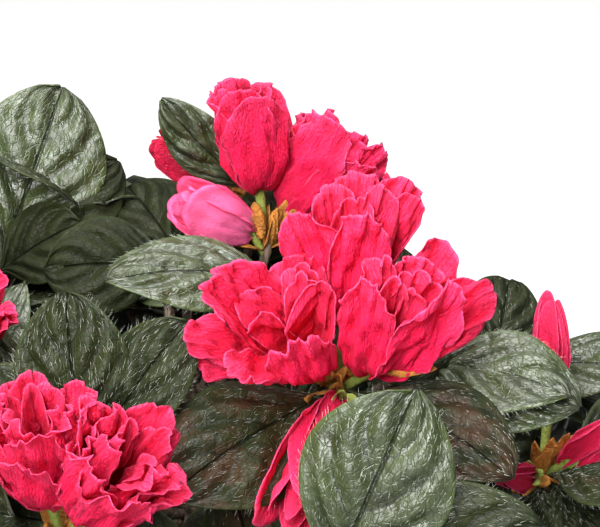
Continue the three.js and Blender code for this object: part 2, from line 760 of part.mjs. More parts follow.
// A mass's stem, from the end of its bough towards its heart
function stemPath(mass) {
  const { start, way } = stemStart(mass);
  const seat = along(start, way, TOUCH_GAP);
  const hub = between(seat, mass.heart, STEM_REACH);
  return [seat, between(seat, hub, 0.5).addScaledVector(way, 2), hub];
}

function stem(mass, grow = 0) {
  const radii = [STEM_RADIUS, STEM_RADIUS, TWIG_RADIUS].map((r) => r + grow);
  return limb(stemPath(mass), radii, TWIG_SIDES, stemStart(mass).way);
}

// A shoot's twig leaves the stem at a share of its outer half and ends along the shoot's axis
function twig(mass, shoot, share, grow = 0) {
  const [, middle, hub] = stemPath(mass);
  const fork = between(middle, hub, share);
  const elbow = along(shoot.tip, shoot.axis, -SHOOT_LENGTH);
  const isFar = fork.distanceTo(elbow) > NEAREST_ELBOW;
  const path = isFar ? [fork, elbow, shoot.tip.clone()] : [fork, shoot.tip.clone()];
  const radii = path.map((_, i) => (i < path.length - 1 ? TWIG_RADIUS : TWIG_TIP_RADIUS) + grow);
  return limb(path, radii, TWIG_SIDES);
}

const isClear = (piece, obstacles) => piece.intersect(obstacles).volume() === 0;

// A mass's wood and the same wood with room round it. A twig that would touch another limb is
// left out, and its shoot with it.
function growWood(mass, limbs) {
  mass.wood = stem(mass);
  mass.room = stem(mass, TWIG_ROOM);
  mass.shoots = mass.shoots.filter((shoot, n) => {
    const first = 0.2 + (0.75 * n) / Math.max(1, mass.shoots.length - 1);
    const share = [first, 1, 0.6, 0.1].find((s) => isClear(twig(mass, shoot, s, TWIG_ROOM), limbs));
    if (share === undefined) return false;
    mass.wood = mass.wood.add(twig(mass, shoot, share));
    mass.room = mass.room.add(twig(mass, shoot, share, TWIG_ROOM));
    return true;
  });
}

// One mass: its wood with blooms and leaves fused to it. A bloom or leaf that would leave the
// space or touch a limb is left out.
function foliageMass(mass, taken, limbs) {
  let solid = mass.wood;
  for (const shoot of mass.shoots) {
    for (const bloom of shoot.blooms) {
      const { foot, rings, end } = bloomRings(bloom, shoot);
      const whole = ringed(foot, rings, end);
      if (staysInSpace(rings.flat(), mass) && isClear(whole, limbs)) solid = solid.add(whole);
    }
  }

  const fuse = (leaf, mostShared) => {
    const c = leafCorners(leaf);
    if (!staysInSpace([c.base, ...c.outline, c.above, c.below], mass)) return false;
    const blade = ringed(c.below, [[c.base, ...c.outline]], c.above);
    if (!isClear(blade, limbs) || solid.intersect(blade).volume() > mostShared) return false;
    solid = solid.add(blade);
    return true;
  };
  for (const shoot of mass.shoots) for (const leaf of shoot.shownLeaves) fuse(leaf, Infinity);
  for (const shoot of mass.shoots) ruledLeaves(shoot, taken, (leaf) => fuse(leaf, MOST_SHARED));
  return largestBody(solid);
}

// Shoots with their shown leaves and their blooms, and each mass's heart among its shoots
function growShoots() {
  const taken = { leaves: [], blooms: [] };
  const shoots = allShoots();
  for (const shoot of shoots) {
    shoot.next = draws(9000 + 37 * shoot.index);
    shoot.shownLeaves = (shoot.shown?.leaves ?? []).map((l) => ({
      base: along(shoot.tip, shoot.axis, -LEAF_FOOT),
      tip: vec(l.tip),
      face: vec(l.face).normalize(),
      width: l.width,
    }));
    const shownBlooms = shoot.shown?.blooms.map((bloom, k) => ({
      ...bloom,
      middle: vec(bloom.middle),
      sunk: stalkSink(k),
    }));
    shoot.blooms = shownBlooms ?? drawnBlooms(shoot, taken);
    shoot.blooms.forEach((b) => taken.blooms.push(b.middle));
    shoot.shownLeaves.forEach((leaf) =>
      leafSpots(leaf).forEach((spot) => taken.leaves.push({ shoot, spot })),
    );
  }
  for (const mass of MASSES) {
    mass.shoots = shoots.filter((shoot) => shoot.mass === mass);
    mass.heart = new THREE.Vector3();
    mass.shoots.forEach((shoot) => mass.heart.add(along(shoot.tip, shoot.axis, -SHOOT_LENGTH)));
    mass.heart.divideScalar(mass.shoots.length);
  }
  return taken;
}

function azalea() {
  const plant = new THREE.Group();
  plant.add(meshOf("clay_pot", clayPot(), CLAY, 0.85));
  plant.add(meshOf("potting_soil", pottingSoil(), PEAT, 1));
  plant.add(meshOf("trunk", trunk(), BARK_BROWN, 0.9));

  const taken = growShoots();
  let limbs = trunk(TOUCH_GAP);
  for (const mass of MASSES.filter((m) => m.rise < TRUNK_HEIGHT)) {
    const name = mass.name.replace("foliage", "bough");
    plant.add(meshOf(name, largestBody(bough(mass).subtract(limbs)), BARK_BROWN, 0.9));
    limbs = limbs.add(bough(mass, TOUCH_GAP));
  }

  for (const mass of MASSES) {
    const others = MASSES.filter((other) => other !== mass);
    const rooms = others.map((other) => other.room ?? stem(other, TWIG_ROOM));
    growWood(mass, wasm.Manifold.union([limbs, ...rooms]));
  }
  for (const mass of MASSES) {
    const rooms = MASSES.filter((other) => other !== mass).map((other) => other.room);
    const obstacles = wasm.Manifold.union([limbs, ...rooms]);
    plant.add(meshOf(mass.name, foliageMass(mass, taken, obstacles), LEAF_GREEN, 0.6));
  }
  return plant;
}

export default azalea();
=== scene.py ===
"""A potted azalea in flower: the looks of the part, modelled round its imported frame.

The plant grows by the same rule as its solids: shoots on the shell of a low crown, a whorl of
leaves under each shoot's blooms, and every bloom built petal by petal. The rule counts in
millimetres, and a finished mesh is in metres, +Z up, with the viewer on the -Y side.
"""
import math
from collections import namedtuple
from types import SimpleNamespace

import bmesh
import bpy
import numpy as np
from mathutils import Matrix, Vector, noise


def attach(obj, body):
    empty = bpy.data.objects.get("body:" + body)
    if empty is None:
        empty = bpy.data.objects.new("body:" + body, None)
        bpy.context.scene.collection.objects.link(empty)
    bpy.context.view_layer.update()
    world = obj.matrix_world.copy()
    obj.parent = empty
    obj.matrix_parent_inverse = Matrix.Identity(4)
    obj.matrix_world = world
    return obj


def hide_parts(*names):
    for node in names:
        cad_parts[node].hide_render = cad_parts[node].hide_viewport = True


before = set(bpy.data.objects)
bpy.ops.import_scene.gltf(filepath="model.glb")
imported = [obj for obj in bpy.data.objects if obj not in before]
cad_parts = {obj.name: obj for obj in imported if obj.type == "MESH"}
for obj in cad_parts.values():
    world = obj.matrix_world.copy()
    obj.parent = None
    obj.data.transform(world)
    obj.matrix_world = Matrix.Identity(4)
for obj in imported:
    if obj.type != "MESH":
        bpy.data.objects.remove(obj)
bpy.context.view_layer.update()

bl_info = {
    "name": "Potted Azalea",
    "version": (1, 0, 0),
    "blender": (4, 5, 0),
    "location": "3D View > Sidebar > Azalea",
    "description": "Grows a flowering azalea in a clay pot, piece by piece",
    "category": "Add Mesh",
}

MM = 0.001

# Camera: where it looks, from how far, how steeply and through which lens
LOOK_AT = (37, -62, 306)
LOOK_FAR = 520
LOOK_DOWN = math.radians(18)
LENS = 125
SENSOR = 36

# Pot and soil, as the solids have them
POT_HEIGHT = 120
POT_RIM_RADIUS = 72
POT_RIM_HEIGHT = 26
POT_RIM_STEP = 3.5
POT_FOOT_RADIUS = 49
POT_WALL = 5.5
POT_FLOOR = 8
POT_SLOPE = (POT_RIM_RADIUS - POT_RIM_STEP - POT_FOOT_RADIUS) / POT_HEIGHT
DRAIN_HOLES = 3
DRAIN_HOLE_RADIUS = 5
DRAIN_HOLES_OUT = 26
SOIL_LEVEL = 106
SOIL_DISH = 2.5
TOUCH_GAP = 0.3

# Trunk and boughs
TRUNK_HEIGHT = 88
TRUNK_LEAN = (7, -5)
TRUNK_RADIUS = 7.5
TRUNK_TIP_RADIUS = 3.2
ROOT_FLARE = 0.8
ROOT_FLARE_HEIGHT = 14
ROOT_LOBES = 5
BOUGH_BASE_RADIUS = 4.2
BOUGH_TIP_RADIUS = 2.5
BOUGH_REACH = 0.5
BOUGH_BEND = 0.55
BOUGH_SAG = 0.12
STEM_REACH = 0.7
STEM_RADIUS = 2.3
TWIG_RADIUS = 1.7
TWIG_TIP_RADIUS = 1.3
NEAREST_ELBOW = 14

# The shell that the shoots' tips lie on
CROWN_CENTRE = np.array([0, 0, 212.0])
CROWN_RADIUS = 100
CROWN_RISE = 85
CROWN_DROP = 48
AXIS_DROP = 70
CROWN_SHOOTS = 64
LOWEST_SHOOT = -0.85
SHOOT_CLEARANCE = 30
SHOOT_TURN_JITTER = 0.25
SHOOT_DEPTH = (0.93, 0.1)
BORDER_MARGIN = 11
GOLDEN_ANGLE = 2.399963
SHOOT_LENGTH = 18

# Leaves: the whorl of the solids, carried on to LEAVES_GROWN leaves a shoot
LEAVES_GROWN = 12
LEAF_SIZES = (0.82, 0.3)
SHOWN_SHOOT_SHARE = 0.9
LEAF_TILT = (1, 0.5)
LEAF_TILT_JITTER = 0.35
LEAF_TURN_JITTER = 0.5
LEAF_DROOP = 0.08
LEAF_FOOT = 2
LEAF_STEP = 2.2
LEAF_TRIES = ((0, 0), (0.35, 0), (-0.35, 0), (0, -0.3), (0.3, -0.35))
LEAF_WIDTH_SHARE = 0.54
LEAF_CLEARANCE = 6
BLOOM_CLEARANCE = 14
POT_CLEARANCE = 8
LOWEST_LEAF = 90
AWAY_FROM_VIEWER = -0.05

# Blooms
BLOOM_MIDDLE = 0.58
BLOOM_SPACING = 24
BUD_SPACING = 13
BLOOM_SIZES = (0.92, 0.2)
PEDICEL_LENGTH = 10
STALK_FOOT = (2.5, 1.3)
BUD_LENGTH = 24
THREES_SHARE = 0.26
OPEN_SHARE = 0.5
FLOWERING_SHARE = 0.62
BLOOM_TURN_JITTER = 0.5
BLOOM_TRIES = ((0, 0.62), (0.6, 0.62), (-0.6, 0.62), (0, 0.3), (1.5, 0.45), (3, 0.45))

# The middles of the foliage masses' spaces, and where each one's bough leaves the trunk
MASSES = (
    ("foliage_crown_top", (0, 50, 300), TRUNK_HEIGHT),
    ("foliage_front", (32, -62, 262), 66),
    ("foliage_right", (128, 8, 228), 60),
    ("foliage_back_right", (60, 100, 240), 70),
    ("foliage_back_left", (-50, 100, 240), 54),
    ("foliage_left", (-150, 30, 240), 62),
    ("foliage_low_front", (10, -95, 120), 34),
    ("foliage_low_right", (110, 10, 145), 40),
    ("foliage_low_back", (0, 105, 145), 28),
    ("foliage_low_left", (-110, 0, 140), 24),
)
MASS_NAMES = [name for name, _, _ in MASSES]
MASS_MIDDLES = np.array([middle for _, middle, _ in MASSES], float)

# The shoots that face the viewer: the tip, its leaves as (tip, face, width, tint), and its blooms
# as (middle, size, form)
SHOWN_SHOOTS = (
    ((48, -53, 270), (
        ((5, -91, 258), (-0.25, -0.8, 0.55), 35, "flushed"),
        ((88, -90, 263), (0.25, -0.62, 0.74), 32, "flushed"),
    ), (
        ((31, -69, 293), 1.05, "left of centre"), ((66, -67, 293), 1.16, "right of centre"),
        ((52, -48, 309), 1.16, "upper"), ((40, -79, 259), 1.5, "hanging"),
        ((45, -72, 264), 1.1, "hanging"),
    )),
    ((66, -38, 271), (
        ((105, -62, 272), (0.1, -0.5, 0.86), 30, "fresh"),
        ((107, -63, 270), (0.1, -0.75, 0.65), 30, "fresh"),
        ((86, -66, 224), (0.1, -0.85, 0.5), 30, "deep"),
    ), ()),
    ((38, -21, 286), (
        ((-12, -42, 298), (-0.05, -0.5, 0.87), 27, "fresh"),
        ((70, -2, 291), (0.3, 0.1, 0.95), 24, "fresh"),
    ), ()),
    ((-22, -92, 243), (
        ((-58, -112, 250), (-0.3, -0.5, 0.8), 27, "deep"),
        ((-30, -128, 220), (-0.1, -0.9, 0.42), 27, "deep"),
    ), (
        ((-25, -101, 275), 0.98, "half open"), ((-6, -106, 270), 1.02, "half open"),
    )),
    ((-17, -72, 255), (
        ((-23, -58, 297), (-0.1, -0.88, 0.46), 29, "deep"),
        ((8, -62, 291), (-0.35, -0.82, 0.45), 26, "deep"),
        ((-50, -66, 276), (-0.5, -0.5, 0.7), 26, "deep"),
    ), ()),
    ((44, -101, 235), (
        ((63, -105, 287), (-0.08, -0.93, 0.36), 38, "fresh"),
        ((9, -108, 236), (-0.35, -0.75, 0.56), 28, "deep"),
        ((94, -110, 256), (0.2, -0.8, 0.57), 33, "deep"),
        ((95, -102, 239), (0.35, -0.65, 0.67), 28, "deep"),
        ((50, -140, 205), (0, -0.85, 0.52), 28, "deep"),
    ), ()),
    ((28, 14, 289), (
        ((58, 50, 306), (0.3, 0.4, 0.85), 26, "deep"), ((10, 55, 306), (-0.2, 0.5, 0.85), 26, "deep"),
        ((31, 38, 305), (0, -0.6, 0.8), 18, "deep"),
    ), (
        ((22, 16, 322), 1.03, "rosebud"), ((46, 23, 308), 1, "cup"), ((13, 9, 297), 1, "smooth"),
    )),
    ((6, 1, 285), (
        ((-34, -4, 287), (-0.25, -0.75, 0.6), 30, "shaded"),
        ((-14, 30, 302), (-0.4, 0.1, 0.9), 26, "shaded"),
    ), ()),
    ((-52, 12, 280), (
        ((-16, 27, 309), (0, -0.85, 0.53), 31, "shaded"),
        ((-26, 5, 297), (-0.05, -0.7, 0.7), 26, "shaded"),
        ((-80, 30, 302), (-0.4, -0.2, 0.9), 25, "shaded"),
        ((-32, 35, 329), (0.1, -0.9, 0.4), 40, "fresh"),
    ), ()),
    ((-58, -42, 264), (
        ((-78, -84, 256), (-0.3, -0.7, 0.65), 27, "deep"),
    ), (
        ((-52, -50, 289), 0.9, "cup"),
    )),
    ((105, -34, 236), (
        ((132, -62, 245), (0.4, -0.5, 0.77), 27, "deep"), ((124, -66, 222), (0.4, -0.7, 0.6), 26, "deep"),
        ((92, -72, 217), (-0.1, -0.75, 0.65), 26, "deep"),
        ((134, -46, 226), (0.5, -0.5, 0.7), 26, "deep"),
    ), (
        ((106, -18, 266), 1.1, "bud"), ((117, -38, 248), 0.95, "bud"), ((94, -50, 243), 0.75, "bud"),
    )),
    ((94, 6, 250), (
        ((132, -14, 262), (0.35, -0.45, 0.82), 28, "fresh"),
        ((136, -2, 240), (0.5, -0.3, 0.8), 27, "deep"), ((101, 37, 271), (0.3, -0.4, 0.86), 24, "deep"),
    ), ()),
    ((26, 30, 299), (
        ((-2, 20, 327), (-0.5, -0.65, 0.57), 17, "fresh"),
    ), (
        ((5, 34, 307), 0.95, "closed"),
    )),
)

# The crown's outline against the open background, seen from the front: how far right of and
# above the middle of the view, at the distance that it looks at. Ruled leaves stay under it.
SKYLINE_RIGHT = (-75, -60, -46, -35, -24, -2.5, 22.5, 32.5, 47.5, 57.5, 75)
SKYLINE_UP = (51, 47, 28, 20, 18, 16, 6, 3, -7, -14, -17)
BLOOM_SIGHT_RADIUS = 17
BLOOM_SIGHT_DEPTH = 4
SHOWN_RIGHT = 75
SHOWN_UP = 66
SHOWN_LOW = -52
SHOWN_DEPTH = 575
RIDGE_DEPTH = 620

# The three blooms at the centre, petal by petal: each one's foot, then its petals. A point is
# right, up and nearer, in millimetres from the bloom's middle as the viewer sees it. A petal has
# its left shoulder, its tip and its right shoulder, as one looks at its inner face, then its
# belly, its curl and its ruffle.
CENTRE_BLOOMS = {
    "left of centre": ((9, -11, -13), (
        ((-16, 2, 6), (-15, 13, 1), (-1, 16, -6), 5, 1, 1.5),
        ((-4, 14, -7), (7, 17, -8), (13, 11, -5), 3, 1.5, 1.8),
        ((2, 0, 6), (12.5, 9.5, 4), (15, -3, 3), 4, 1.2, 0.9),
        ((-9, -3, 5), (-3, 1.5, 3), (2, -1, 3.5), 4, 0.3, 0.7),
        ((15, -5, 5), (6, -6, 12), (-4, -11, 11), 6, -1.5, 0.7),
        ((-2, -13, 11), (-9, -12, 12), (-14, -6, 8), 3, 1, 0.9),
        ((-14, -11, 0), (-23, -3, 0), (-17, 4, -4), 2, 1.5, 1.3),
        ((-12, -13, -3), (-19, -12, -4), (-20, -4, -7), 2, 1, 1.2),
        ((0, 8, -1), (6, 14, -3), (13, 9, 0), 4, 2, 1.7),
        ((1, 4, 2), (7, 10.5, 1), (12.5, 5, 3), 4, 2, 1.5),
        ((-11, 1, 1), (-6, 8, -2), (3, 7, -3), 4, 1.5, 1.2),
    )),
    "right of centre": ((-10, -13, -12), (
        ((-4.5, 3, 9), (-12, 12, 7), (-20, 4, 1), 8, 1.8, 1.2),
        ((11.5, -2, 3), (9.5, 9.5, 5), (-3.5, 0, 9.5), 6, 0.8, 0.9),
        ((0, 13, -6), (6, 21, -8), (14, 12, -6), 3, 1.5, 1.3),
        ((11, 12, -5), (20, 7, -3), (14, -6, -2), 3, 1.5, 1.3),
        ((-9, 9, -1), (0, 15.5, -4), (10, 10, -3), 5, 1.2, 1.7),
        ((-7, 5, 2), (1, 11, 0), (9, 6, 1), 4, 1.5, 1.5),
        ((-5, 2, 4), (-1, 5.5, 4), (4, 2, 5), 3, 2.5, 0.8),
        ((-16, 7, 1), (-9, 14.5, 1), (-3, 11, 0), 4, 1.8, 1.9),
        ((-12, 5, 4), (-6, 9, 4), (-1, 5, 4), 3, 1.5, 1.4),
    )),
    "upper": ((-3, -22, -4), (
        ((-6, 3, 6), (-17, 7, 3), (-21, -3, 0), 5, 1.2, 1.3),
        ((9.5, -2, 7), (0, 7, 9), (-8.5, -3, 7), 5, 1.2, 1.6),
        ((5, 10, 3), (17, 9, -1), (11, -4, 2), 3, 1.4, 1.3),
        ((4, 15, -3), (14, 15, -4), (17, 6, -2), 3, 1.6, 1.4),
        ((-9, 12, 0), (-1, 17, -2), (9, 14, -2), 4, 1.5, 1.9),
        ((-13, 6, 3), (-8, 13, 3), (0, 11, 4), 4, 1.5, 1.7),
        ((-8, 4, 5), (-2, 9.5, 5), (5, 6, 6), 4, 1.8, 1.5),
        ((0, 8, 3), (6, 13, 2), (12, 6, 3), 4, 1.5, 1.6),
        ((-1, -9, 4), (-6, -5, 4), (-9, -12, 1), 2, 0.5, 0.8),
    )),
}

# The whorls of an opening bloom, in shares of its length: how many petals, how far the tips
# stand from the axis and along it, the same for the shoulders, half a petal's turn, and its ruffle
WHORLS = {
    "cup": (
        (5, 0.53, 0.86, 0.46, 0.62, 0.75, 1.3), (5, 0.4, 0.94, 0.36, 0.74, 0.8, 1.5),
        (5, 0.27, 0.95, 0.25, 0.78, 0.85, 1.6), (4, 0.14, 0.92, 0.13, 0.78, 1, 1.5),
    ),
    "half open": (
        (5, 0.43, 0.84, 0.4, 0.58, 0.85, 1.1), (4, 0.35, 0.95, 0.33, 0.72, 0.95, 1.3),
        (4, 0.22, 0.98, 0.22, 0.78, 1, 1.4), (3, 0.11, 0.95, 0.11, 0.78, 1.1, 1.3),
    ),
    "rosebud": (
        (3, 0.21, 0.96, 0.34, 0.69, 1.15, 0.6), (3, 0.15, 0.99, 0.29, 0.76, 1.12, 0.8),
        (3, 0.1, 0.97, 0.21, 0.8, 1.05, 0.9), (3, 0.05, 0.94, 0.1, 0.84, 1, 0.9),
    ),
    "smooth": (
        (3, 0.24, 0.98, 0.38, 0.7, 1.2, 0.5), (3, 0.15, 0.94, 0.28, 0.66, 1.2, 0.6),
        (3, 0.08, 0.9, 0.16, 0.66, 1.1, 0.8),
    ),
    "hanging": (
        (3, 0.22, 0.95, 0.27, 0.48, 1.25, 0.5), (3, 0.16, 0.99, 0.21, 0.62, 1.25, 0.5),
        (2, 0.06, 0.96, 0.12, 0.66, 1.3, 0.5),
    ),
    "closed": (
        (3, 0.17, 0.92, 0.34, 0.52, 1.15, 0.5), (3, 0.1, 0.98, 0.27, 0.6, 1.15, 0.5),
        (2, 0.05, 0.94, 0.14, 0.66, 1.3, 0.5),
    ),
    "bud": (
        (3, 0.07, 0.96, 0.23, 0.5, 1.15, 0.3), (3, 0.04, 1, 0.18, 0.58, 1.15, 0.3),
        (2, 0.02, 0.97, 0.08, 0.66, 1.3, 0.3),
    ),
}

BUD_FORMS = ("smooth", "hanging", "closed", "bud")
BELLIES = {
    "cup": 0.16, "half open": 0.17, "rosebud": 0.2, "smooth": 0.12, "hanging": 0.08,
    "closed": 0.1, "bud": 0.08,
}


# The growth rule

# The seed that each kind of draw counts on from
SEEDS = {
    "spread": 500, "shoot": 9000, "leaf": 300, "hair": 900, "petal": 70, "whorl": 1000,
    "stalk": 4000, "crumb": 11, "scale": 77,
}
SPREAD_SEED_STEP = 13
SHOOT_SEED_STEP = 37
RULED_FROM = 100
BLOOM_SEED_STEP = 50
DRAW_FACTOR = 1664525
DRAW_OFFSET = 1013904223
DRAW_SPAN = 2 ** 32
LEAF_SPOTS = (0.45, 0.72, 0.98)
ALWAYS_OPEN = 200
TRUNK_SWAY = 2
TRUNK_END_REACH = 16
STEM_OVERLAP = 2
PATH_PULL = 0.7


def draws(seed):
    """A repeatable draw of numbers from 0 to 1."""
    state = seed
    while True:
        state = (state * DRAW_FACTOR + DRAW_OFFSET) % DRAW_SPAN
        yield state / DRAW_SPAN


def vec(numbers):
    return np.array(numbers, float)


def unit(v):
    return v / np.linalg.norm(v, axis=-1, keepdims=True)


def between(a, b, share):
    return a + (b - a) * share


def curved(start, bend, end, t):
    """A spot on the curve from start to end that leans towards its bend."""
    return (1 - t) ** 2 * start + 2 * t * (1 - t) * bend + t * t * end


def across(axis):
    """Two directions across an axis."""
    aside = vec((1, 0, 0) if abs(axis[2]) > 0.95 else (0, 0, 1))
    u = unit(np.cross(aside, axis))
    return u, np.cross(axis, u)


def round_axis(axis, turn):
    u, v = across(axis)
    return u * math.cos(turn) + v * math.sin(turn)


LOOK_WAY = vec((0, math.cos(LOOK_DOWN), -math.sin(LOOK_DOWN)))
VIEW_RIGHT = vec((1, 0, 0))
VIEW_UP = vec((0, math.sin(LOOK_DOWN), math.cos(LOOK_DOWN)))
CAMERA_PLACE = vec(LOOK_AT) - LOOK_FAR * LOOK_WAY


def sight(points):
    """How far right, up and away points are seen from the front, at the distance looked at."""
    away = np.atleast_2d(points) - CAMERA_PLACE
    depth = away @ LOOK_WAY
    return away @ VIEW_RIGHT * LOOK_FAR / depth, away @ VIEW_UP * LOOK_FAR / depth, depth


def outward_on(shell):
    rel = shell - CROWN_CENTRE
    rise = CROWN_RISE if rel[2] > 0 else AXIS_DROP
    return unit(rel / vec((CROWN_RADIUS, CROWN_RADIUS, rise)) ** 2)


def mass_of(point):
    return int(np.argmin(np.linalg.norm(MASS_MIDDLES - point, axis=1)))


def borders(points, mass):
    """The ways to a mass's borders, and how far points are from each."""
    own = MASS_MIDDLES[mass]
    ways = np.delete(MASS_MIDDLES, mass, axis=0) - own
    halves = np.linalg.norm(ways, axis=1) / 2
    ways = ways / (2 * halves[:, None])
    return ways, halves - (np.atleast_2d(points) - own) @ ways.T


class Shoot:
    """A twig's end with the leaves and blooms on it."""

    def __init__(self, index, tip, shown=None):
        self.index = index
        self.tip = tip
        self.shown = shown
        self.axis = outward_on(tip)
        self.mass = mass_of(tip)
        self.draw = draws(SEEDS["shoot"] + SHOOT_SEED_STEP * index)
        self.leaves = []
        self.blooms = []


class Leaf:
    def __init__(self, base, tip, face, width, tint=None):
        self.base = base
        self.tip = tip
        self.width = width
        self.tint = tint
        way = unit(tip - base)
        self.face = unit(face - way * (face @ way))

    def spots(self):
        return np.array([between(self.base, self.tip, share) for share in LEAF_SPOTS])


class Bloom:
    def __init__(self, middle, size, form, shoot, order):
        self.middle = middle
        self.size = size
        self.form = form
        self.way = unit(middle - shoot.tip)
        self.root = shoot.tip - shoot.axis * (STALK_FOOT[0] + STALK_FOOT[1] * order)
        self.seed = BLOOM_SEED_STEP * shoot.index + order


def all_shoots():
    """The shown shoots first, then shoots spaced by the golden angle where none is shown."""
    shoots = [Shoot(i, vec(shown[0]), shown) for i, shown in enumerate(SHOWN_SHOOTS)]
    for i in range(CROWN_SHOOTS):
        draw = draws(SEEDS["spread"] + SPREAD_SEED_STEP * i)
        height = 1 - ((i + 0.5) / CROWN_SHOOTS) * (1 - LOWEST_SHOOT)
        turn = i * GOLDEN_ANGLE + (next(draw) - 0.5) * SHOOT_TURN_JITTER
        depth = SHOOT_DEPTH[0] + SHOOT_DEPTH[1] * next(draw)
        wide = math.sqrt(1 - height * height) * CROWN_RADIUS * depth
        rise = (CROWN_RISE if height > 0 else CROWN_DROP) * height * depth
        tip = CROWN_CENTRE + vec((wide * math.cos(turn), wide * math.sin(turn), rise))
        ways, fars = borders(tip, mass_of(tip))
        tip = tip + ways.T @ np.minimum(fars[0] - BORDER_MARGIN, 0)
        if all(np.linalg.norm(s.tip - tip) > SHOOT_CLEARANCE for s in shoots):
            shoots.append(Shoot(RULED_FROM + i, tip))
    return shoots


def under_skyline(right, up, margin=0):
    open_sky = {"left": ALWAYS_OPEN, "right": ALWAYS_OPEN}
    return up + margin < np.interp(right, SKYLINE_RIGHT, SKYLINE_UP, **open_sky)


def is_shown_bare(middle, size):
    """Whether a bloom would stand where the viewer sees the crown without one."""
    right, up, depth = (float(part[0]) for part in sight(middle))
    reach = BLOOM_SIGHT_RADIUS * size * LOOK_FAR / depth
    if abs(right) > SHOWN_RIGHT + reach or up < -SHOWN_UP - reach:
        return False
    return depth < RIDGE_DEPTH or not under_skyline(right, up, reach)


def drawn_blooms(shoot, taken, bloom_length):
    """A shoot's own blooms by the rule: three, two or a pair of buds round its axis, or none."""
    kind = next(shoot.draw)
    first = next(shoot.draw) * math.tau
    spin = [next(shoot.draw) for _ in range(3)]
    if kind > FLOWERING_SHARE:
        return []
    count = 3 if kind < THREES_SHARE else 2
    form = "bud" if kind > OPEN_SHARE else "cup"
    apart = BLOOM_SPACING if form == "cup" else BUD_SPACING
    blooms = []
    for k in range(count):
        size = BLOOM_SIZES[0] + BLOOM_SIZES[1] * spin[k]
        turn = first + k * math.tau / count + (spin[k] - 0.5) * BLOOM_TURN_JITTER
        far = PEDICEL_LENGTH + BLOOM_MIDDLE * bloom_length * size
        for turned_by, lean in BLOOM_TRIES:
            way = unit(shoot.axis + lean * round_axis(shoot.axis, turn + turned_by))
            middle = shoot.tip + way * far
            near = [np.linalg.norm(other - middle) for other in taken + [b.middle for b in blooms]]
            if is_shown_bare(middle, size) or min(near, default=apart + 1) <= apart:
                continue
            if (borders(middle, shoot.mass)[1] > TOUCH_GAP).all():
                blooms.append(Bloom(middle, size, form, shoot, k))
                break
    return blooms


def leaf_at(shoot, turn, tilt, back, length):
    way = shoot.axis * math.cos(tilt) + round_axis(shoot.axis, turn) * math.sin(tilt)
    way = unit(way - vec((0, 0, LEAF_DROOP)))
    base = shoot.tip - shoot.axis * back
    return Leaf(base, base + way * length, shoot.axis, length * LEAF_WIDTH_SHARE)


def is_in_the_way(spots, shown_blooms, is_shown_shoot):
    """Whether a leaf would hide a shown piece from the viewer or stand up against the sky."""
    right, up, depth = sight(spots)
    if not under_skyline(right, up).all():
        return True
    in_frame = (np.abs(right) < SHOWN_RIGHT) & (up > SHOWN_LOW) & (up < SHOWN_UP)
    if not is_shown_shoot and (in_frame & (depth < SHOWN_DEPTH)).any():
        return True
    bloom_right, bloom_up, bloom_depth = shown_blooms
    off = np.hypot(right[:, None] - bloom_right, up[:, None] - bloom_up)
    return bool(((off < BLOOM_SIGHT_RADIUS) & (depth[:, None] < bloom_depth + BLOOM_SIGHT_DEPTH)).any())


def is_crowded(spots, others, clearance):
    """Whether any of the spots is too near any of the others."""
    if not len(others):
        return False
    return bool((np.linalg.norm(np.array(others)[:, None] - spots, axis=2) < clearance).any())


def has_room(leaf, shoot, leaves_taken, blooms_taken, shown_blooms):
    spots = leaf.spots()
    height = spots[:, 2]
    over_pot = np.hypot(spots[:, 0], spots[:, 1]) < POT_RIM_RADIUS + POT_CLEARANCE
    if (height < LOWEST_LEAF).any() or (over_pot & (height < POT_HEIGHT + POT_CLEARANCE)).any():
        return False
    if is_crowded(spots, blooms_taken, BLOOM_CLEARANCE):
        return False
    others = [spot for owner, spot in leaves_taken if owner is not shoot]
    if is_crowded(spots, others, LEAF_CLEARANCE):
        return False
    return not is_in_the_way(spots, shown_blooms, bool(shoot.shown))


def grow_leaves(shoot, leaves_taken, blooms_taken, shown_blooms, leaf_length):
    """A shoot's whorl by the rule. A leaf without room is turned a little, then left out."""
    for k in range(LEAVES_GROWN):
        draw = [next(shoot.draw) for _ in range(4)]
        turn = k * GOLDEN_ANGLE + (draw[0] - 0.5) * LEAF_TURN_JITTER
        tilt = LEAF_TILT[0] + LEAF_TILT[1] * (k / LEAVES_GROWN) + (draw[1] - 0.5) * LEAF_TILT_JITTER
        length = leaf_length * (LEAF_SIZES[0] + LEAF_SIZES[1] * draw[2])
        length *= SHOWN_SHOOT_SHARE if shoot.shown else 1
        for turned_by, tilted_by in LEAF_TRIES:
            leaf = leaf_at(shoot, turn + turned_by, tilt + tilted_by, LEAF_FOOT + LEAF_STEP * k, length)
            if shoot.shown and unit(leaf.tip - leaf.base) @ -LOOK_WAY > AWAY_FROM_VIEWER:
                break
            if has_room(leaf, shoot, leaves_taken, blooms_taken, shown_blooms):
                shoot.leaves.append(leaf)
                leaves_taken.extend((shoot, spot) for spot in leaf.spots())
                break


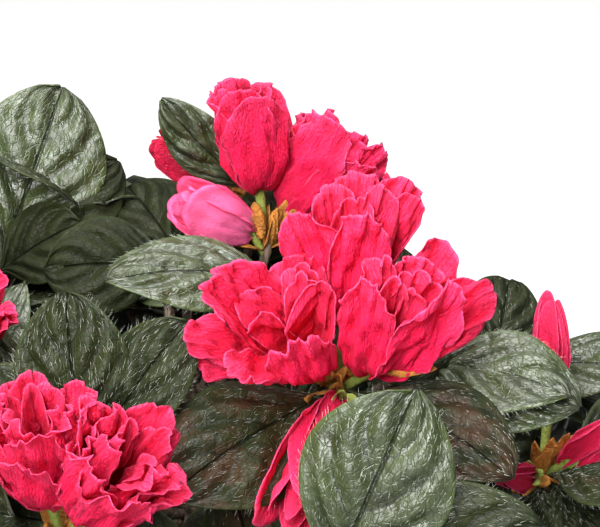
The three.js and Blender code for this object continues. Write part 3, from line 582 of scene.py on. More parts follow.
def grow(sizes):
    """The whole crown: its shoots with their leaves and blooms."""
    shoots = all_shoots()
    blooms_taken = []
    leaves_taken = []
    for shoot in shoots:
        if shoot.shown:
            _, leaves, blooms = shoot.shown
            base = shoot.tip - shoot.axis * LEAF_FOOT
            for tip, face, width, tint in leaves:
                shoot.leaves.append(Leaf(base, vec(tip), vec(face), width, tint))
            for k, (middle, size, form) in enumerate(blooms):
                shoot.blooms.append(Bloom(vec(middle), size, form, shoot, k))
        else:
            shoot.blooms = drawn_blooms(shoot, blooms_taken, sizes.bloom_length / MM)
        blooms_taken += [bloom.middle for bloom in shoot.blooms]
        leaves_taken += [(shoot, spot) for leaf in shoot.leaves for spot in leaf.spots()]
    shown_blooms = sight(np.array([b.middle for s in shoots if s.shown for b in s.blooms]))
    middles = np.array(blooms_taken)
    for shoot in shoots:
        grow_leaves(shoot, leaves_taken, middles, shown_blooms, sizes.leaf_length / MM)
    return shoots


def hearts(shoots):
    """The middle of each mass's shoots, which its bough and stem make for."""
    elbows = [[s.tip - s.axis * SHOOT_LENGTH for s in shoots if s.mass == m] for m in range(len(MASSES))]
    return [np.mean(places, axis=0) for places in elbows]


def trunk_at(height):
    share = height / TRUNK_HEIGHT
    x = TRUNK_LEAN[0] * share * share + math.sin(share * math.pi) * TRUNK_SWAY
    return vec((x, TRUNK_LEAN[1] * share * share, SOIL_LEVEL + TOUCH_GAP + height))


def bough_path(rise, heart, steps):
    """A bough's middle line, and the way it ends."""
    start = trunk_at(rise)
    end = between(start, heart, BOUGH_REACH)
    bend = between(start, end, BOUGH_BEND)
    bend[2] -= BOUGH_SAG * np.linalg.norm(end - start)
    return curved(start, bend, end, np.linspace(0, 1, steps + 1)[:, None]), unit(end - bend)


def stem_path(mass, heart):
    """A mass's stem, from its bough's end or the trunk's top to its hub."""
    rise = MASSES[mass][2]
    if rise == TRUNK_HEIGHT:
        start = trunk_at(rise)
        way = unit(start - trunk_at(rise - TRUNK_END_REACH))
    else:
        path, way = bough_path(rise, heart, 4)
        start = path[-1]
    hub = between(start, heart, STEM_REACH)
    lap = way * STEM_OVERLAP
    return [start - lap, between(start, hub, 0.5) + lap, hub]


# Making meshes

class Pile:
    """Shaped copies of templates, gathered to become one mesh."""

    def __init__(self):
        self.parts = []
        self.count = 0

    def add(self, points, faces, uv=None, slots=None):
        """points has a row for each corner; faces are equally long rows of corner numbers."""
        uv = np.zeros((len(points), 2)) if uv is None else uv
        slots = np.zeros(len(faces), int) if slots is None else slots
        sizes = np.full(len(faces), faces.shape[1])
        self.parts.append((points, (faces + self.count).ravel(), sizes, slots, uv[faces.ravel()]))
        self.count += len(points)

    def mesh(self, name):
        points, loops, sizes, slots, uvs = (np.concatenate(rows) for rows in zip(*self.parts))
        mesh = bpy.data.meshes.new(name)
        mesh.vertices.add(len(points))
        mesh.vertices.foreach_set("co", (points * MM).ravel().astype(np.float32))
        mesh.loops.add(len(loops))
        mesh.loops.foreach_set("vertex_index", loops.astype(np.int32))
        mesh.polygons.add(len(sizes))
        mesh.polygons.foreach_set("loop_start", (np.cumsum(sizes) - sizes).astype(np.int32))
        mesh.polygons.foreach_set("material_index", slots.astype(np.int32))
        mesh.uv_layers.new(name="UVMap").data.foreach_set("uv", uvs.ravel())
        mesh.update(calc_edges=True)
        mesh.shade_smooth()
        return mesh


def placed(name, data):
    """A new object of the scene."""
    made = bpy.data.objects.new(name, data)
    bpy.context.scene.collection.objects.link(made)
    return made


def piece(name, mesh, materials, nodes=()):
    """An object of the part, which rides on its body and may stand for solids of the frame."""
    made = placed(name, mesh)
    for material in materials:
        mesh.materials.append(material)
    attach(made, "root")
    if nodes:
        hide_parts(*nodes)
    return made


def mesh_of(bm, name, is_smooth=True):
    """The mesh of a bmesh, which is freed."""
    mesh = bpy.data.meshes.new(name)
    bm.to_mesh(mesh)
    bm.free()
    if is_smooth:
        mesh.shade_smooth()
    return mesh


def arrays_of(bm, sides):
    """A bmesh's corners, and its faces of so many sides as rows of corner numbers. It is freed."""
    bm.verts.index_update()
    points = np.array([v.co[:] for v in bm.verts])
    faces = np.array([[v.index for v in f.verts] for f in bm.faces if len(f.verts) == sides])
    bm.free()
    return points, faces


def evaluated(thing):
    """The mesh of an object with its modifiers' work done."""
    bpy.context.view_layer.update()
    depsgraph = bpy.context.evaluated_depsgraph_get()
    return bpy.data.meshes.new_from_object(thing.evaluated_get(depsgraph))


def turned(profile, sides):
    """A form turned from points that each have a radius and a height."""
    bm = bmesh.new()
    verts = [bm.verts.new((radius * MM, 0, height * MM)) for radius, height in profile]
    for pair in zip(verts, verts[1:]):
        bm.edges.new(pair)
    bmesh.ops.spin(
        bm, geom=bm.verts[:] + bm.edges[:], axis=(0, 0, 1), cent=(0, 0, 0),
        steps=sides, angle=math.tau, use_merge=True,
    )
    bmesh.ops.remove_doubles(bm, verts=bm.verts[:], dist=1e-6)
    bmesh.ops.recalc_face_normals(bm, faces=bm.faces[:])
    return bm


class Shell:
    """A closed flat shell of two layers, made once and shaped many times."""

    def __init__(self, columns, rows):
        bm = bmesh.new()
        bmesh.ops.create_grid(bm, x_segments=columns, y_segments=rows, size=1)
        bmesh.ops.solidify(bm, geom=bm.faces[:], thickness=1)
        bmesh.ops.recalc_face_normals(bm, faces=bm.faces[:])
        points, self.faces = arrays_of(bm, 4)
        self.uv = (points[:, :2] + 1) / 2
        self.column = np.rint(self.uv[:, 0] * columns).astype(int)
        self.row = np.rint(self.uv[:, 1] * rows).astype(int)
        self.layer = np.where(points[:, 2] > -0.5, 0.5, -0.5)
        self.across = np.linspace(-1, 1, columns + 1)
        self.along = np.linspace(0, 1, rows + 1)
        self.under = (self.layer[self.faces] < 0).all(axis=1).astype(int)

    def pour(self, pile, sheet, thickness):
        """Adds a closed shell round a sheet of points, as thick as told."""
        normal = np.cross(np.gradient(sheet, axis=1), np.gradient(sheet, axis=0))
        normal /= np.maximum(np.linalg.norm(normal, axis=2, keepdims=True), 1e-9)
        lift = (self.layer * thickness)[:, None] * normal[self.row, self.column]
        pile.add(sheet[self.row, self.column] + lift, self.faces, self.uv, self.under)


def limb(pile, rings, ends):
    """Adds the skin over rings of points, closed to a point at each end."""
    sides = len(rings[0])
    first = np.arange(len(rings) - 1)[:, None] * sides
    i = np.arange(sides)
    j = (i + 1) % sides
    faces = np.stack([first + i, first + j, first + sides + j, first + sides + i], axis=2)
    pile.add(np.concatenate(rings), faces.reshape(-1, 4))
    for ring, end, a, b in ((rings[0], ends[0], j, i), (rings[-1], ends[1], i, j)):
        pile.add(np.vstack([ring, end]), np.stack([a, b, np.full(sides, sides)], axis=1))


def tube(pile, path, radii, sides):
    """Adds a round limb along a path."""
    path = np.array(path, float)
    ways = unit(np.gradient(path, axis=0))
    u = across(ways[0])[0]
    turns = np.arange(sides) * math.tau / sides
    rings = []
    for spot, way, radius in zip(path, ways, radii):
        u = unit(u - way * (u @ way))
        v = np.cross(way, u)
        rings.append(spot + radius * (np.cos(turns)[:, None] * u + np.sin(turns)[:, None] * v))
    limb(pile, rings, (path[0], path[-1]))


def smooth_path(points, steps):
    """A bent line through three points, or a straight one through two."""
    t = np.linspace(0, 1, steps + 1)[:, None]
    if len(points) == 2:
        return between(points[0], points[1], t)
    a, b, c = points
    return curved(a, between(b, 2 * b - (a + c) / 2, PATH_PULL), c, t)


# Leaves

LEAF_SHAPE_LEAN = 1.25
LEAF_SHAPE_END = 0.9985
LEAF_POINT = (1.1, 0.53)
PETIOLE_SHARE = 0.07
PETIOLE_HALF_WIDTH = 0.9
LEAF_ARCH = 0.28
LEAF_CUP = 0.165
LEAF_DROOPS = (0.02, 0.1)
LEAF_FOLDS = (0.02, 0.14)
LEAF_BENDS = (-0.025, 0.025)
MIDRIB_WIDTH = 1.5
MIDRIB_DEPTH = 1.1
VEIN_PAIRS = 3.8
VEIN_SWEEP = 0.48
VEIN_BEND = 1.2
VEIN_STAGGER = 0.3
PUCKER = 1.4
PUCKER_POWER = 0.7
EDGE_WAVE = 0.08
EDGE_WAVES = 8
HAIR_HALF_WIDTH = 0.035
HAIR_HEIGHT = 1.5
HAIR_LENGTHS = (0.55, 1.25)
HAIR_ROWS = (0.12, 0.97)
HAIR_COLUMNS = (0.02, 0.98)
HAIR_LEAN = 0.35
HAIR_LIFT = 0.16
EDGE_HAIR_SHARE = 0.2
EDGE_HAIR_LEAN = 1.2
EDGE_HAIR_LIFT = 0.05
HAIR_FACES = np.array([[0, 1, 2], [0, 3, 1], [1, 3, 2], [2, 3, 0]])


def leaf_sheet(leaf, shell, seed):
    """A leaf's surface, with a sunken midrib, lifted fields between veins and a wavy edge."""
    rng = np.random.default_rng(seed)
    length = np.linalg.norm(leaf.tip - leaf.base)
    way = (leaf.tip - leaf.base) / length
    half = leaf.width / 2
    u = shell.across[None, :]
    v = shell.along[:, None]
    aside = np.abs(u)
    blade = np.clip((v - PETIOLE_SHARE) / (1 - PETIOLE_SHARE), 0, 1)
    outline = np.sin(math.pi * np.minimum(blade ** LEAF_SHAPE_LEAN, LEAF_SHAPE_END))
    outline **= LEAF_POINT[0] - LEAF_POINT[1] * blade
    off = u * np.maximum(half * outline, PETIOLE_HALF_WIDTH * (1 - blade) ** 3)
    droop = rng.uniform(*LEAF_DROOPS)
    fold = rng.uniform(*LEAF_FOLDS)
    bend = rng.uniform(*LEAF_BENDS)
    wave = rng.uniform(0, math.tau)
    lift = length * (LEAF_ARCH * v * (1 - v) - droop * v ** 3) + fold * np.abs(off)
    lift -= LEAF_CUP * half * (off / half) ** 2
    lift -= MIDRIB_DEPTH * np.exp(-((off / MIDRIB_WIDTH) ** 2)) * np.minimum(1, 6 * blade)
    lane = (v - VEIN_SWEEP * aside ** VEIN_BEND) * VEIN_PAIRS + VEIN_STAGGER * np.sign(u)
    field = (1 - aside) * aside * 4 * np.clip(5 * blade * (1 - blade), 0, 1)
    lift += PUCKER * (np.abs(np.sin(math.pi * lane)) ** PUCKER_POWER - 0.5) * field
    lift += EDGE_WAVE * half * np.sin(EDGE_WAVES * v + wave + 2 * np.sign(u)) * aside ** 3
    sway = off + bend * length * np.sin(math.pi * v)
    side = np.cross(way, leaf.face)
    return leaf.base + way * length * v[..., None] + side * sway[..., None] + leaf.face * lift[..., None]


def leaf_hairs(pile, sheet, count, sizes, seed):
    """Pale hairs that lie forward along the upper face and fringe the edge."""
    rng = np.random.default_rng(seed)
    rows, columns, _ = sheet.shape
    on_edge = rng.random(count) < EDGE_HAIR_SHARE
    row = rng.uniform(*HAIR_ROWS, count) * (rows - 1)
    side = np.where(rng.random(count) < 0.5, 0, columns - 1)
    column = np.where(on_edge, side, rng.uniform(*HAIR_COLUMNS, count) * (columns - 1))
    low_row = row.astype(int)
    high_row = np.minimum(low_row + 1, rows - 1)
    low_column = np.minimum(column.astype(int), columns - 2)
    here, beside = sheet[low_row, low_column], sheet[low_row, low_column + 1]
    ahead, beyond = sheet[high_row, low_column], sheet[high_row, low_column + 1]
    over = (column - low_column)[:, None]
    spot = between(between(here, beside, over), between(ahead, beyond, over), (row - low_row)[:, None])
    along_leaf = unit(ahead - here + 1e-6)
    across_leaf = unit(beside - here)
    out = np.cross(across_leaf, along_leaf)
    edge_lean = np.where(column < 1, -EDGE_HAIR_LEAN, EDGE_HAIR_LEAN)
    lean = np.where(on_edge, edge_lean, rng.normal(0, HAIR_LEAN, count))[:, None]
    rise = np.where(on_edge, EDGE_HAIR_LIFT, HAIR_LIFT)[:, None]
    way = unit(along_leaf + across_leaf * lean + out * rise)
    length = sizes.hair_length / MM * rng.uniform(*HAIR_LENGTHS, (count, 1))
    root = spot + out * np.where(on_edge, 0, sizes.leaf_thickness / MM / 2)[:, None]
    wide = across_leaf * HAIR_HALF_WIDTH
    high = out * HAIR_HALF_WIDTH * HAIR_HEIGHT
    corners = np.stack([root - wide, root + wide, root + high, root + way * length], axis=1)
    faces = np.arange(count)[:, None, None] * 4 + HAIR_FACES
    pile.add(corners.reshape(-1, 3), faces.reshape(-1, 3))


# Petals

# A petal by its foot, its left shoulder, tip and right shoulder, in the plant's frame
Petal = namedtuple("Petal", "foot left tip right belly curl ruffle")

PETAL_SIDE_POWER = 0.5
PETAL_OVERHANG = 1.25
SHOULDER_ROUNDING = 0.16
BELLY_POWER = 0.62
BELLY_SIDE_LOSS = 0.35
LIP_FROM = 0.62
LIP_CURL = 1.6
LIP_DRAW = 0.5
# The waves of a ruffled rim: how long, how high, and how much of that goes sideways
RUFFLES = ((12, 0.5, 0), (6.6, 0.66, 0.3), (4, 0.55, 0.5), (2.5, 0.3, 0.5), (1.7, 0.1, 0))
RUFFLE_STRETCH = (0.8, 1.2)
RUFFLE_DRIFT = (-1.5, 1.5)
SCALLOP = 0.2
SCALLOP_LENGTH = 2.2
CRUMPLE_LENGTHS = (11, 6.5, 4)
CRUMPLE_HEIGHT = 0.065
CRUMPLE_FLOOR = 0.2
BUD_REACH = 1.1
BUD_CURL = 0.2
BUD_RUFFLE_SHARE = 0.3
PETAL_CURLS = (0.8, 2.2)
PETAL_TURNS = (-0.18, 0.18)
PETAL_SPREADS = (0.88, 1.12)
PETAL_RISES = (0.93, 1.06)
WHORL_TURN = 0.4


def petal_sheets(petals, shell, seed):
    """The surfaces of petals: a cupped fan from the foot to a curled and ruffled rim."""
    rng = np.random.default_rng(seed)
    shape = (len(petals), 1, 1, 1)
    foot, left, tip, right, belly, curl, ruffle = (
        np.array(values, float).reshape(len(petals), 1, 1, -1) for values in zip(*petals)
    )
    u = shell.across[None, None, :, None]
    aside = np.abs(u)
    v = shell.along[None, :, None, None] * (1 - SHOULDER_ROUNDING * aside ** 5)
    inner = unit(np.cross(right - left, tip - foot))
    out = unit(tip - foot)
    side = unit(right - left)
    wide = np.linalg.norm(right - left, axis=3, keepdims=True) * PETAL_OVERHANG
    long = np.linalg.norm(tip - foot, axis=3, keepdims=True)
    spread = left * u * (u - 1) / 2 + right * u * (u + 1) / 2 - tip * u * u
    spots = foot + (tip - foot) * v + spread * v ** PETAL_SIDE_POWER
    spots -= inner * belly * np.sin(math.pi * v ** BELLY_POWER) * (1 - BELLY_SIDE_LOSS * u * u)
    lip = np.clip((v - LIP_FROM) / (1 - LIP_FROM), 0, 1)
    spots -= inner * curl * lip ** 2 * LIP_CURL + out * curl * lip ** 3 * LIP_DRAW
    waves, sways = 0, 0
    for reach, height, sway in RUFFLES:
        phase = rng.uniform(0, math.tau, shape)
        pitch = math.pi * wide / (reach * rng.uniform(*RUFFLE_STRETCH, shape))
        angle = pitch * u + phase + rng.uniform(*RUFFLE_DRIFT, shape) * v
        waves = waves + height * np.sin(angle)
        sways = sways + sway * height * np.cos(angle)
    spots += ruffle * np.maximum(v ** 3, aside ** 5 * v) * (inner * waves + side * sways)
    notch = rng.uniform(0, math.tau, shape)
    lane = wide * u / SCALLOP_LENGTH
    scallop = np.sin(lane + notch) + 0.5 * np.sin(2 * (lane + notch))
    spots += out * ruffle * v ** 4 * SCALLOP * scallop
    crumple = 0
    for reach in CRUMPLE_LENGTHS:
        for _ in range(2):
            turn = rng.uniform(0, math.pi, shape)
            phase = rng.uniform(0, math.tau, shape)
            lane = u * wide / 2 * np.cos(turn) + v * long * np.sin(turn)
            crumple = crumple + reach * np.sin(math.tau * lane / reach + phase)
    fade = np.minimum(1, 2 * v) * np.minimum(1, CRUMPLE_FLOOR + ruffle)
    return spots + inner * CRUMPLE_HEIGHT * crumple * fade


def seen_from_front(bloom, point):
    """A point that is given from a bloom's middle as right, up and nearer."""
    return bloom.middle + vec(point) @ np.stack([VIEW_RIGHT, VIEW_UP, -LOOK_WAY])


def bloom_foot(bloom, bloom_length):
    """Where a bloom's petals meet, at the end of its stalk."""
    if bloom.form in CENTRE_BLOOMS:
        return seen_from_front(bloom, CENTRE_BLOOMS[bloom.form][0])
    if bloom.form in BUD_FORMS:
        return bloom.middle - bloom.way * BUD_LENGTH * bloom.size * 0.5
    return bloom.middle - bloom.way * BLOOM_MIDDLE * bloom_length * bloom.size


def centre_petals(bloom, foot):
    """The petals of a bloom whose every petal is given one by one."""
    _, petals = CENTRE_BLOOMS[bloom.form]
    return [
        Petal(foot, *(seen_from_front(bloom, corner) for corner in petal[:3]), *petal[3:])
        for petal in petals
    ]


def whorled_petals(bloom, foot, bloom_length):
    """The petals of a bloom by rule, whorl within whorl."""
    rng = np.random.default_rng(SEEDS["whorl"] + bloom.seed)
    is_bud = bloom.form in BUD_FORMS
    whorls = WHORLS[bloom.form]
    length = (BUD_LENGTH * BUD_REACH if is_bud else bloom_length) * bloom.size
    belly = length * BELLIES[bloom.form]
    ruffle_share = BUD_RUFFLE_SHARE if is_bud else 1
    u, v = across(bloom.way)
    to_viewer = math.atan2(v @ -LOOK_WAY, u @ -LOOK_WAY)
    turn = to_viewer - math.pi / whorls[0][0] if is_bud else rng.uniform(0, math.tau)
    petals = []
    for count, tip_out, tip_up, side_out, side_up, half_turn, ruffle in whorls:
        turn += math.pi / count
        places = ((half_turn, side_out, side_up), (0, tip_out, tip_up), (-half_turn, side_out, side_up))
        for k in range(count):
            at = turn + k * math.tau / count + rng.uniform(*PETAL_TURNS)
            spread = length * rng.uniform(*PETAL_SPREADS)
            rise = length * rng.uniform(*PETAL_RISES)
            corners = [
                foot + bloom.way * rise * up + round_axis(bloom.way, at + aside) * spread * out
                for aside, out, up in places
            ]
            curl = BUD_CURL if is_bud else rng.uniform(*PETAL_CURLS)
            petals.append(Petal(foot, *corners, belly, curl, ruffle * ruffle_share))
        turn += WHORL_TURN
    return petals


def petals_of(bloom, bloom_length):
    foot = bloom_foot(bloom, bloom_length)
    if bloom.form in CENTRE_BLOOMS:
        return centre_petals(bloom, foot)
    return whorled_petals(bloom, foot, bloom_length)


# Materials

def fill(socket, term):
    """Gives a socket its value, a plain one or a term."""
    if isinstance(term, Term):
        socket.id_data.links.new(term.socket, socket)
    else:
        socket.default_value = term


def settle(node, **values):
    """Gives a node its settings and inputs by name."""
    for key, value in values.items():
        name = key.replace("_", " ")
        if name in node.inputs:
            fill(node.inputs[name], value)
        else:
            setattr(node, key, value)
    return node


def node_in(tree, kind, **values):
    return settle(tree.nodes.new(kind), **values)


def term_in(tree, kind, **values):
    """The first output of a new node."""
    return Term(node_in(tree, kind, **values).outputs[0])


def terms_of(node):
    """All outputs of a node by their names."""
    return SimpleNamespace(**{socket.name.replace(" ", "_"): Term(socket) for socket in node.outputs})


class Term:
    """An output of a shader node, to reckon with."""

    def __init__(self, socket):
        self.socket = socket
        self.tree = socket.id_data

    def maths(self, operation, *others):
        made = node_in(self.tree, "ShaderNodeMath", operation=operation)
        for socket, term in zip(made.inputs, (self, *others)):
            fill(socket, term)
        return Term(made.outputs[0])

    def __add__(self, other):
        return self.maths("ADD", other)

    def __sub__(self, other):
        return self.maths("SUBTRACT", other)

    def __mul__(self, other):
        return self.maths("MULTIPLY", other)

    def __abs__(self):
        return self.maths("ABSOLUTE")

    def step(self, low, high):
        """A smooth step from 0 to 1, as the value goes from low to high."""
        values = {"Value": self, "From_Min": low, "From_Max": high}
        return term_in(self.tree, "ShaderNodeMapRange", interpolation_type="SMOOTHSTEP", **values)

    def mix(self, below, above):
        """A colour with another laid over it by this share."""
        made = node_in(self.tree, "ShaderNodeMix", data_type="RGBA")
        for number, term in ((0, self), (6, below), (7, above)):
            fill(made.inputs[number], term)
        return Term(made.outputs[2])


def layered(colour, *layers):
    """A colour with others laid over it in turn, each by its own share."""
    for share, tone in layers:
        colour = share.mix(colour, tone)
    return colour


def shade(colour, factor, alpha=1.0):
    """A colour made lighter or darker."""
    return (*(min(1, c * factor) for c in colour[:3]), alpha)


def new_group(name, inputs, outputs):
    """An empty node group with named sockets: its tree, what it is given, and its end node."""
    tree = bpy.data.node_groups.new(name, "ShaderNodeTree")
    for label, value in inputs.items():
        socket = tree.interface.new_socket(label, in_out="INPUT", socket_type="NodeSocketFloat")
        socket.default_value = value
    for label in outputs:
        tree.interface.new_socket(label, in_out="OUTPUT", socket_type="NodeSocketFloat")
    return tree, terms_of(tree.nodes.new("NodeGroupInput")), tree.nodes.new("NodeGroupOutput")


def place_in(tree):
    """Where a point is on its own piece."""
    return terms_of(tree.nodes.new("ShaderNodeTexCoord")).Object


def map_in(tree):
    """A blade's own map, whole, across it and along it."""
    uv = term_in(tree, "ShaderNodeUVMap", uv_map="UVMap")
    split = terms_of(node_in(tree, "ShaderNodeSeparateXYZ", Vector=uv))
    return uv, split.X, split.Y


def noise_in(tree, **values):
    return term_in(tree, "ShaderNodeTexNoise", **values)


def build_mottle(name):
    """Patches over the piece from its own coordinates: rough-edged, soft and fine ones."""
    tree, given, result = new_group(name, {"Scale": 100.0, "Contrast": 1.0}, ("Mask", "Soft", "Fine"))
    place = place_in(tree)
    for label, factor, detail in (("Mask", 1, 4), ("Soft", 1.6, 1), ("Fine", 6, 3)):
        grain = noise_in(tree, Vector=place, Scale=given.Scale * factor, Detail=detail, Roughness=0.6)
        spread = (grain - 0.5) * given.Contrast * 2.5 + 0.5
        fill(result.inputs[label], term_in(tree, "ShaderNodeClamp", Value=spread))
    return tree


def build_blade_veins(name):
    """A leaf's midrib and side veins, from its own map: across in U, along in V."""
    given_values = {"Pairs": VEIN_PAIRS, "Sweep": VEIN_SWEEP}
    tree, given, result = new_group(name, given_values, ("Midrib", "Veins", "Edge", "Net", "Fields"))
    uv, over, along = map_in(tree)
    middle_out = over * 2 - 1
    aside = abs(middle_out)
    warp = noise_in(tree, Vector=uv, Scale=6, Detail=2)
    lane = along - aside.maths("POWER", VEIN_BEND) * given.Sweep + (warp - 0.5) * 0.06
    lane = lane * given.Pairs + 0.5 + middle_out.maths("SIGN") * VEIN_STAGGER
    off = abs(lane.maths("FRACT") - 0.5)
    fade = aside.step(0.95, 0.6)
    cells = node_in(tree, "ShaderNodeTexVoronoi", feature="DISTANCE_TO_EDGE", Vector=uv, Scale=24)
    settle(
        result, Midrib=aside.step(0.045, 0), Veins=off.step(0.055, 0) * fade, Edge=aside.step(0.9, 1),
        Net=terms_of(cells).Distance.step(0.09, 0), Fields=off.step(0, 0.42) * fade,
    )
    return tree


def build_petal_lines(name):
    """Fine veins that fan up a petal, and its thin edge, from its own map, with masks for its tip and its
    foot that carry painted sheen and painted shade.
    """
    tree, given, result = new_group(name, {"Lines": 26.0}, ("Veins", "Edge", "Tip", "Heart", "Crinkle"))
    uv, over, along = map_in(tree)
    warp = noise_in(tree, Vector=uv, Scale=5, Detail=4)
    lane = ((warp - 0.5) * 0.16 + over) * given.Lines
    side_edge = abs(over * 2 - 1).step(0.965, 1)
    settle(
        result, Veins=abs(lane.maths("FRACT") - 0.5).step(0.13, 0), Tip=along.step(0.6, 1),
        Edge=side_edge.maths("MAXIMUM", along.step(0.97, 1)), Heart=along.step(0.85, 0.1),
        Crinkle=noise_in(tree, Vector=uv, Scale=26, Detail=4, Distortion=0.6),
    )
    return tree


GROUPS = {"mottle": build_mottle, "blade veins": build_blade_veins, "petal lines": build_petal_lines}


class Finish:
    """A new material, which is built up from effects and terms."""

    def __init__(self, name):
        self.material = bpy.data.materials.new(name)
        self.material.use_nodes = True
        self.tree = self.material.node_tree
        self.shader = self.tree.nodes["Principled BSDF"]

    def effect(self, name, **values):
        """One of the shared node groups, which is built when first asked for."""
        group = bpy.data.node_groups.get(name) or GROUPS[name](name)
        return terms_of(node_in(self.tree, "ShaderNodeGroup", node_tree=group, **values))

    def bump(self, height, distance):
        bump = term_in(self.tree, "ShaderNodeBump", Height=height, Distance=distance)
        settle(self.shader, Normal=bump)

    def through(self, share, colour):
        """Lets light through a thin surface: a share of it comes out on the far side."""
        glow = term_in(self.tree, "ShaderNodeBsdfTranslucent", Color=colour)
        blend = self.tree.nodes.new("ShaderNodeMixShader")
        for socket, term in zip(blend.inputs, (share, Term(self.shader.outputs[0]), glow)):
            fill(socket, term)
        settle(self.tree.nodes["Material Output"], Surface=Term(blend.outputs[0]))


def leaf_material(name, green, flush, flush_share, roughness, gloss):
    """The upper face of a leaf: leathery green with a grey sheen, sunken veins and midrib in painted
    shade, a paler margin that is partly its own pale edge and partly a painted rim highlight, and a brown
    flush.
    """
    finish = Finish(name)
    veins = finish.effect("blade veins")
    mottle = finish.effect("mottle", Scale=110)
    grain = finish.effect("mottle", Scale=230, Contrast=1.3)
    # Painted shade: the side veins and the midrib are darkened where they sink. The paler margin is partly
    # the leaf's own pale edge and partly a painted rim highlight.
    colour = layered(
        mottle.Mask.mix(shade(green, 0.6), shade(green, 1.4)),
        (mottle.Mask.step(0.2, 0.75) * flush_share, flush),
        (grain.Mask * 0.35, shade(green, 2.2)),
        (veins.Veins * 0.85, shade(green, 0.2)),
        (veins.Midrib * 0.85, shade(green, 0.2)),
        (veins.Edge * 0.5, shade(green, 3.2)),
    )
    rough = mottle.Soft * 0.24 + roughness
    settle(finish.shader, Base_Color=colour, Roughness=rough, Specular_IOR_Level=gloss)
    fine = grain.Fine * 0.05 - veins.Net * 0.09 + grain.Soft * 0.09
    finish.bump(fine + mottle.Soft * 0.6 + veins.Fields * 0.9 - veins.Midrib * 0.5, 0.0013)
    finish.through(0.06, shade(green, 4))
    return finish.material


def leaf_under_material(name, green):
    """The under face of a leaf: paler and duller, with raised veins."""
    finish = Finish(name)
    veins = finish.effect("blade veins")
    pale = (*(0.55 * c + 0.06 for c in green[:3]), 1)
    raised = veins.Midrib.maths("MAXIMUM", veins.Veins * 0.6)
    settle(finish.shader, Base_Color=raised.mix(pale, shade(pale, 1.5)), Roughness=0.7)
    finish.bump(raised, 0.0006)
    finish.through(0.08, shade(green, 3))
    return finish.material


def petal_material(name, pink, edge, deep, relief):
    """A petal: thin, silky and saturated, paler at its crinkled edge and deep at its heart. The paler edge
    and tip are partly the petal's own paler rim and partly a painted highlight and sheen; the deep red at
    the heart is painted shade.
    """
    finish = Finish(name)
    lines = finish.effect("petal lines")
    mottle = finish.effect("mottle", Scale=160)
    # Painted light: the deep red at the foot is painted shade in the bloom's heart; the paler tip and edge
    # are partly the rim's own paler pink and partly painted sheen and rim highlight.
    colour = layered(
        pink, (mottle.Soft * 0.3, deep), (lines.Heart * 0.9, deep), (lines.Tip * 0.2, edge),
        (lines.Veins * 0.35, deep), (lines.Edge * 0.5, edge),
    )
    settle(
        finish.shader, Base_Color=colour, Roughness=0.52, Specular_IOR_Level=0.18,
        Sheen_Weight=0.05, Sheen_Roughness=0.4, Sheen_Tint=(1, 0.55, 0.75, 1),
    )
    finish.bump(lines.Crinkle - lines.Veins * 0.25, relief)
    finish.through(0.3, colour)
    return finish.material


def plain_material(name, tones, scale, roughness, relief, glow=0):
    """A mottled surface of two tones with a little relief."""
    finish = Finish(name)
    mottle = finish.effect("mottle", Scale=scale)
    colour = mottle.Mask.mix(*tones)
    settle(finish.shader, Base_Color=colour, Roughness=roughness, Specular_IOR_Level=0.35)
    finish.bump(mottle.Fine, relief)
    if glow:
        finish.through(glow, colour)
    return finish.material


def bark_material(name, brown):
    """Grey-brown bark in thin lengthwise flakes with dark cracks between them."""
    finish = Finish(name)
    mottle = finish.effect("mottle", Scale=90)
    long = term_in(finish.tree, "ShaderNodeMapping", Vector=place_in(finish.tree), Scale=(1, 1, 0.22))
    flakes = noise_in(finish.tree, Vector=long, Scale=520, Detail=5, Roughness=0.65)
    crack = flakes.step(0.5, 0.38)
    wood = mottle.Mask.mix(shade(brown, 0.7), shade(brown, 1.35))
    settle(finish.shader, Base_Color=(crack * 0.7).mix(wood, shade(brown, 0.3)), Roughness=0.88)
    finish.bump(flakes - crack * 0.6, 0.0012)
    return finish.material


def clay_material(name, clay):
    """Fired clay: turning lines, darker damp patches and a pale bloom of lime."""
    finish = Finish(name)
    mottle = finish.effect("mottle", Scale=28)
    grain = finish.effect("mottle", Scale=420)
    split = terms_of(node_in(finish.tree, "ShaderNodeSeparateXYZ", Vector=place_in(finish.tree)))
    rings = noise_in(finish.tree, noise_dimensions="1D", W=split.Z, Scale=900, Detail=3)
    colour = layered(
        mottle.Mask.mix(shade(clay, 0.8), shade(clay, 1.12)),
        (grain.Mask * 0.3, shade(clay, 0.6)),
        (mottle.Mask.step(0.35, 1) * 0.16, (0.72, 0.62, 0.52, 1)),
    )
    rough = mottle.Mask * -0.12 + 0.9
    settle(finish.shader, Base_Color=colour, Roughness=rough, Specular_IOR_Level=0.3)
    finish.bump(rings * 0.7 + grain.Mask, 0.0003)
    return finish.material


# The add-on: sizes and colours, one operator for each group of pieces, and a panel

def length_of(name, description, default):
    return bpy.props.FloatProperty(
        name=name, description=description, default=default, min=0, unit="LENGTH", subtype="DISTANCE"
    )


def colour_of(name, description, default):
    return bpy.props.FloatVectorProperty(
        name=name, description=description, default=(*default, 1), size=4, min=0, max=1, subtype="COLOR"
    )


class AzaleaSizes(bpy.types.PropertyGroup):
    """The sizes that a user would change."""

    leaf_length: length_of("Leaf length", "Length of a full-grown leaf", 0.047)
    leaf_thickness: length_of("Leaf thickness", "Thickness of a leaf's blade", 0.0005)
    hair_length: length_of("Hair length", "Length of the hairs on a leaf", 0.0022)
    bloom_length: length_of("Bloom length", "Length of an open bloom from its foot to its rim", 0.032)
    petal_thickness: length_of("Petal thickness", "Thickness of a petal", 0.00024)
    crumb_size: length_of("Crumb size", "Size of a common crumb of potting soil", 0.0016)


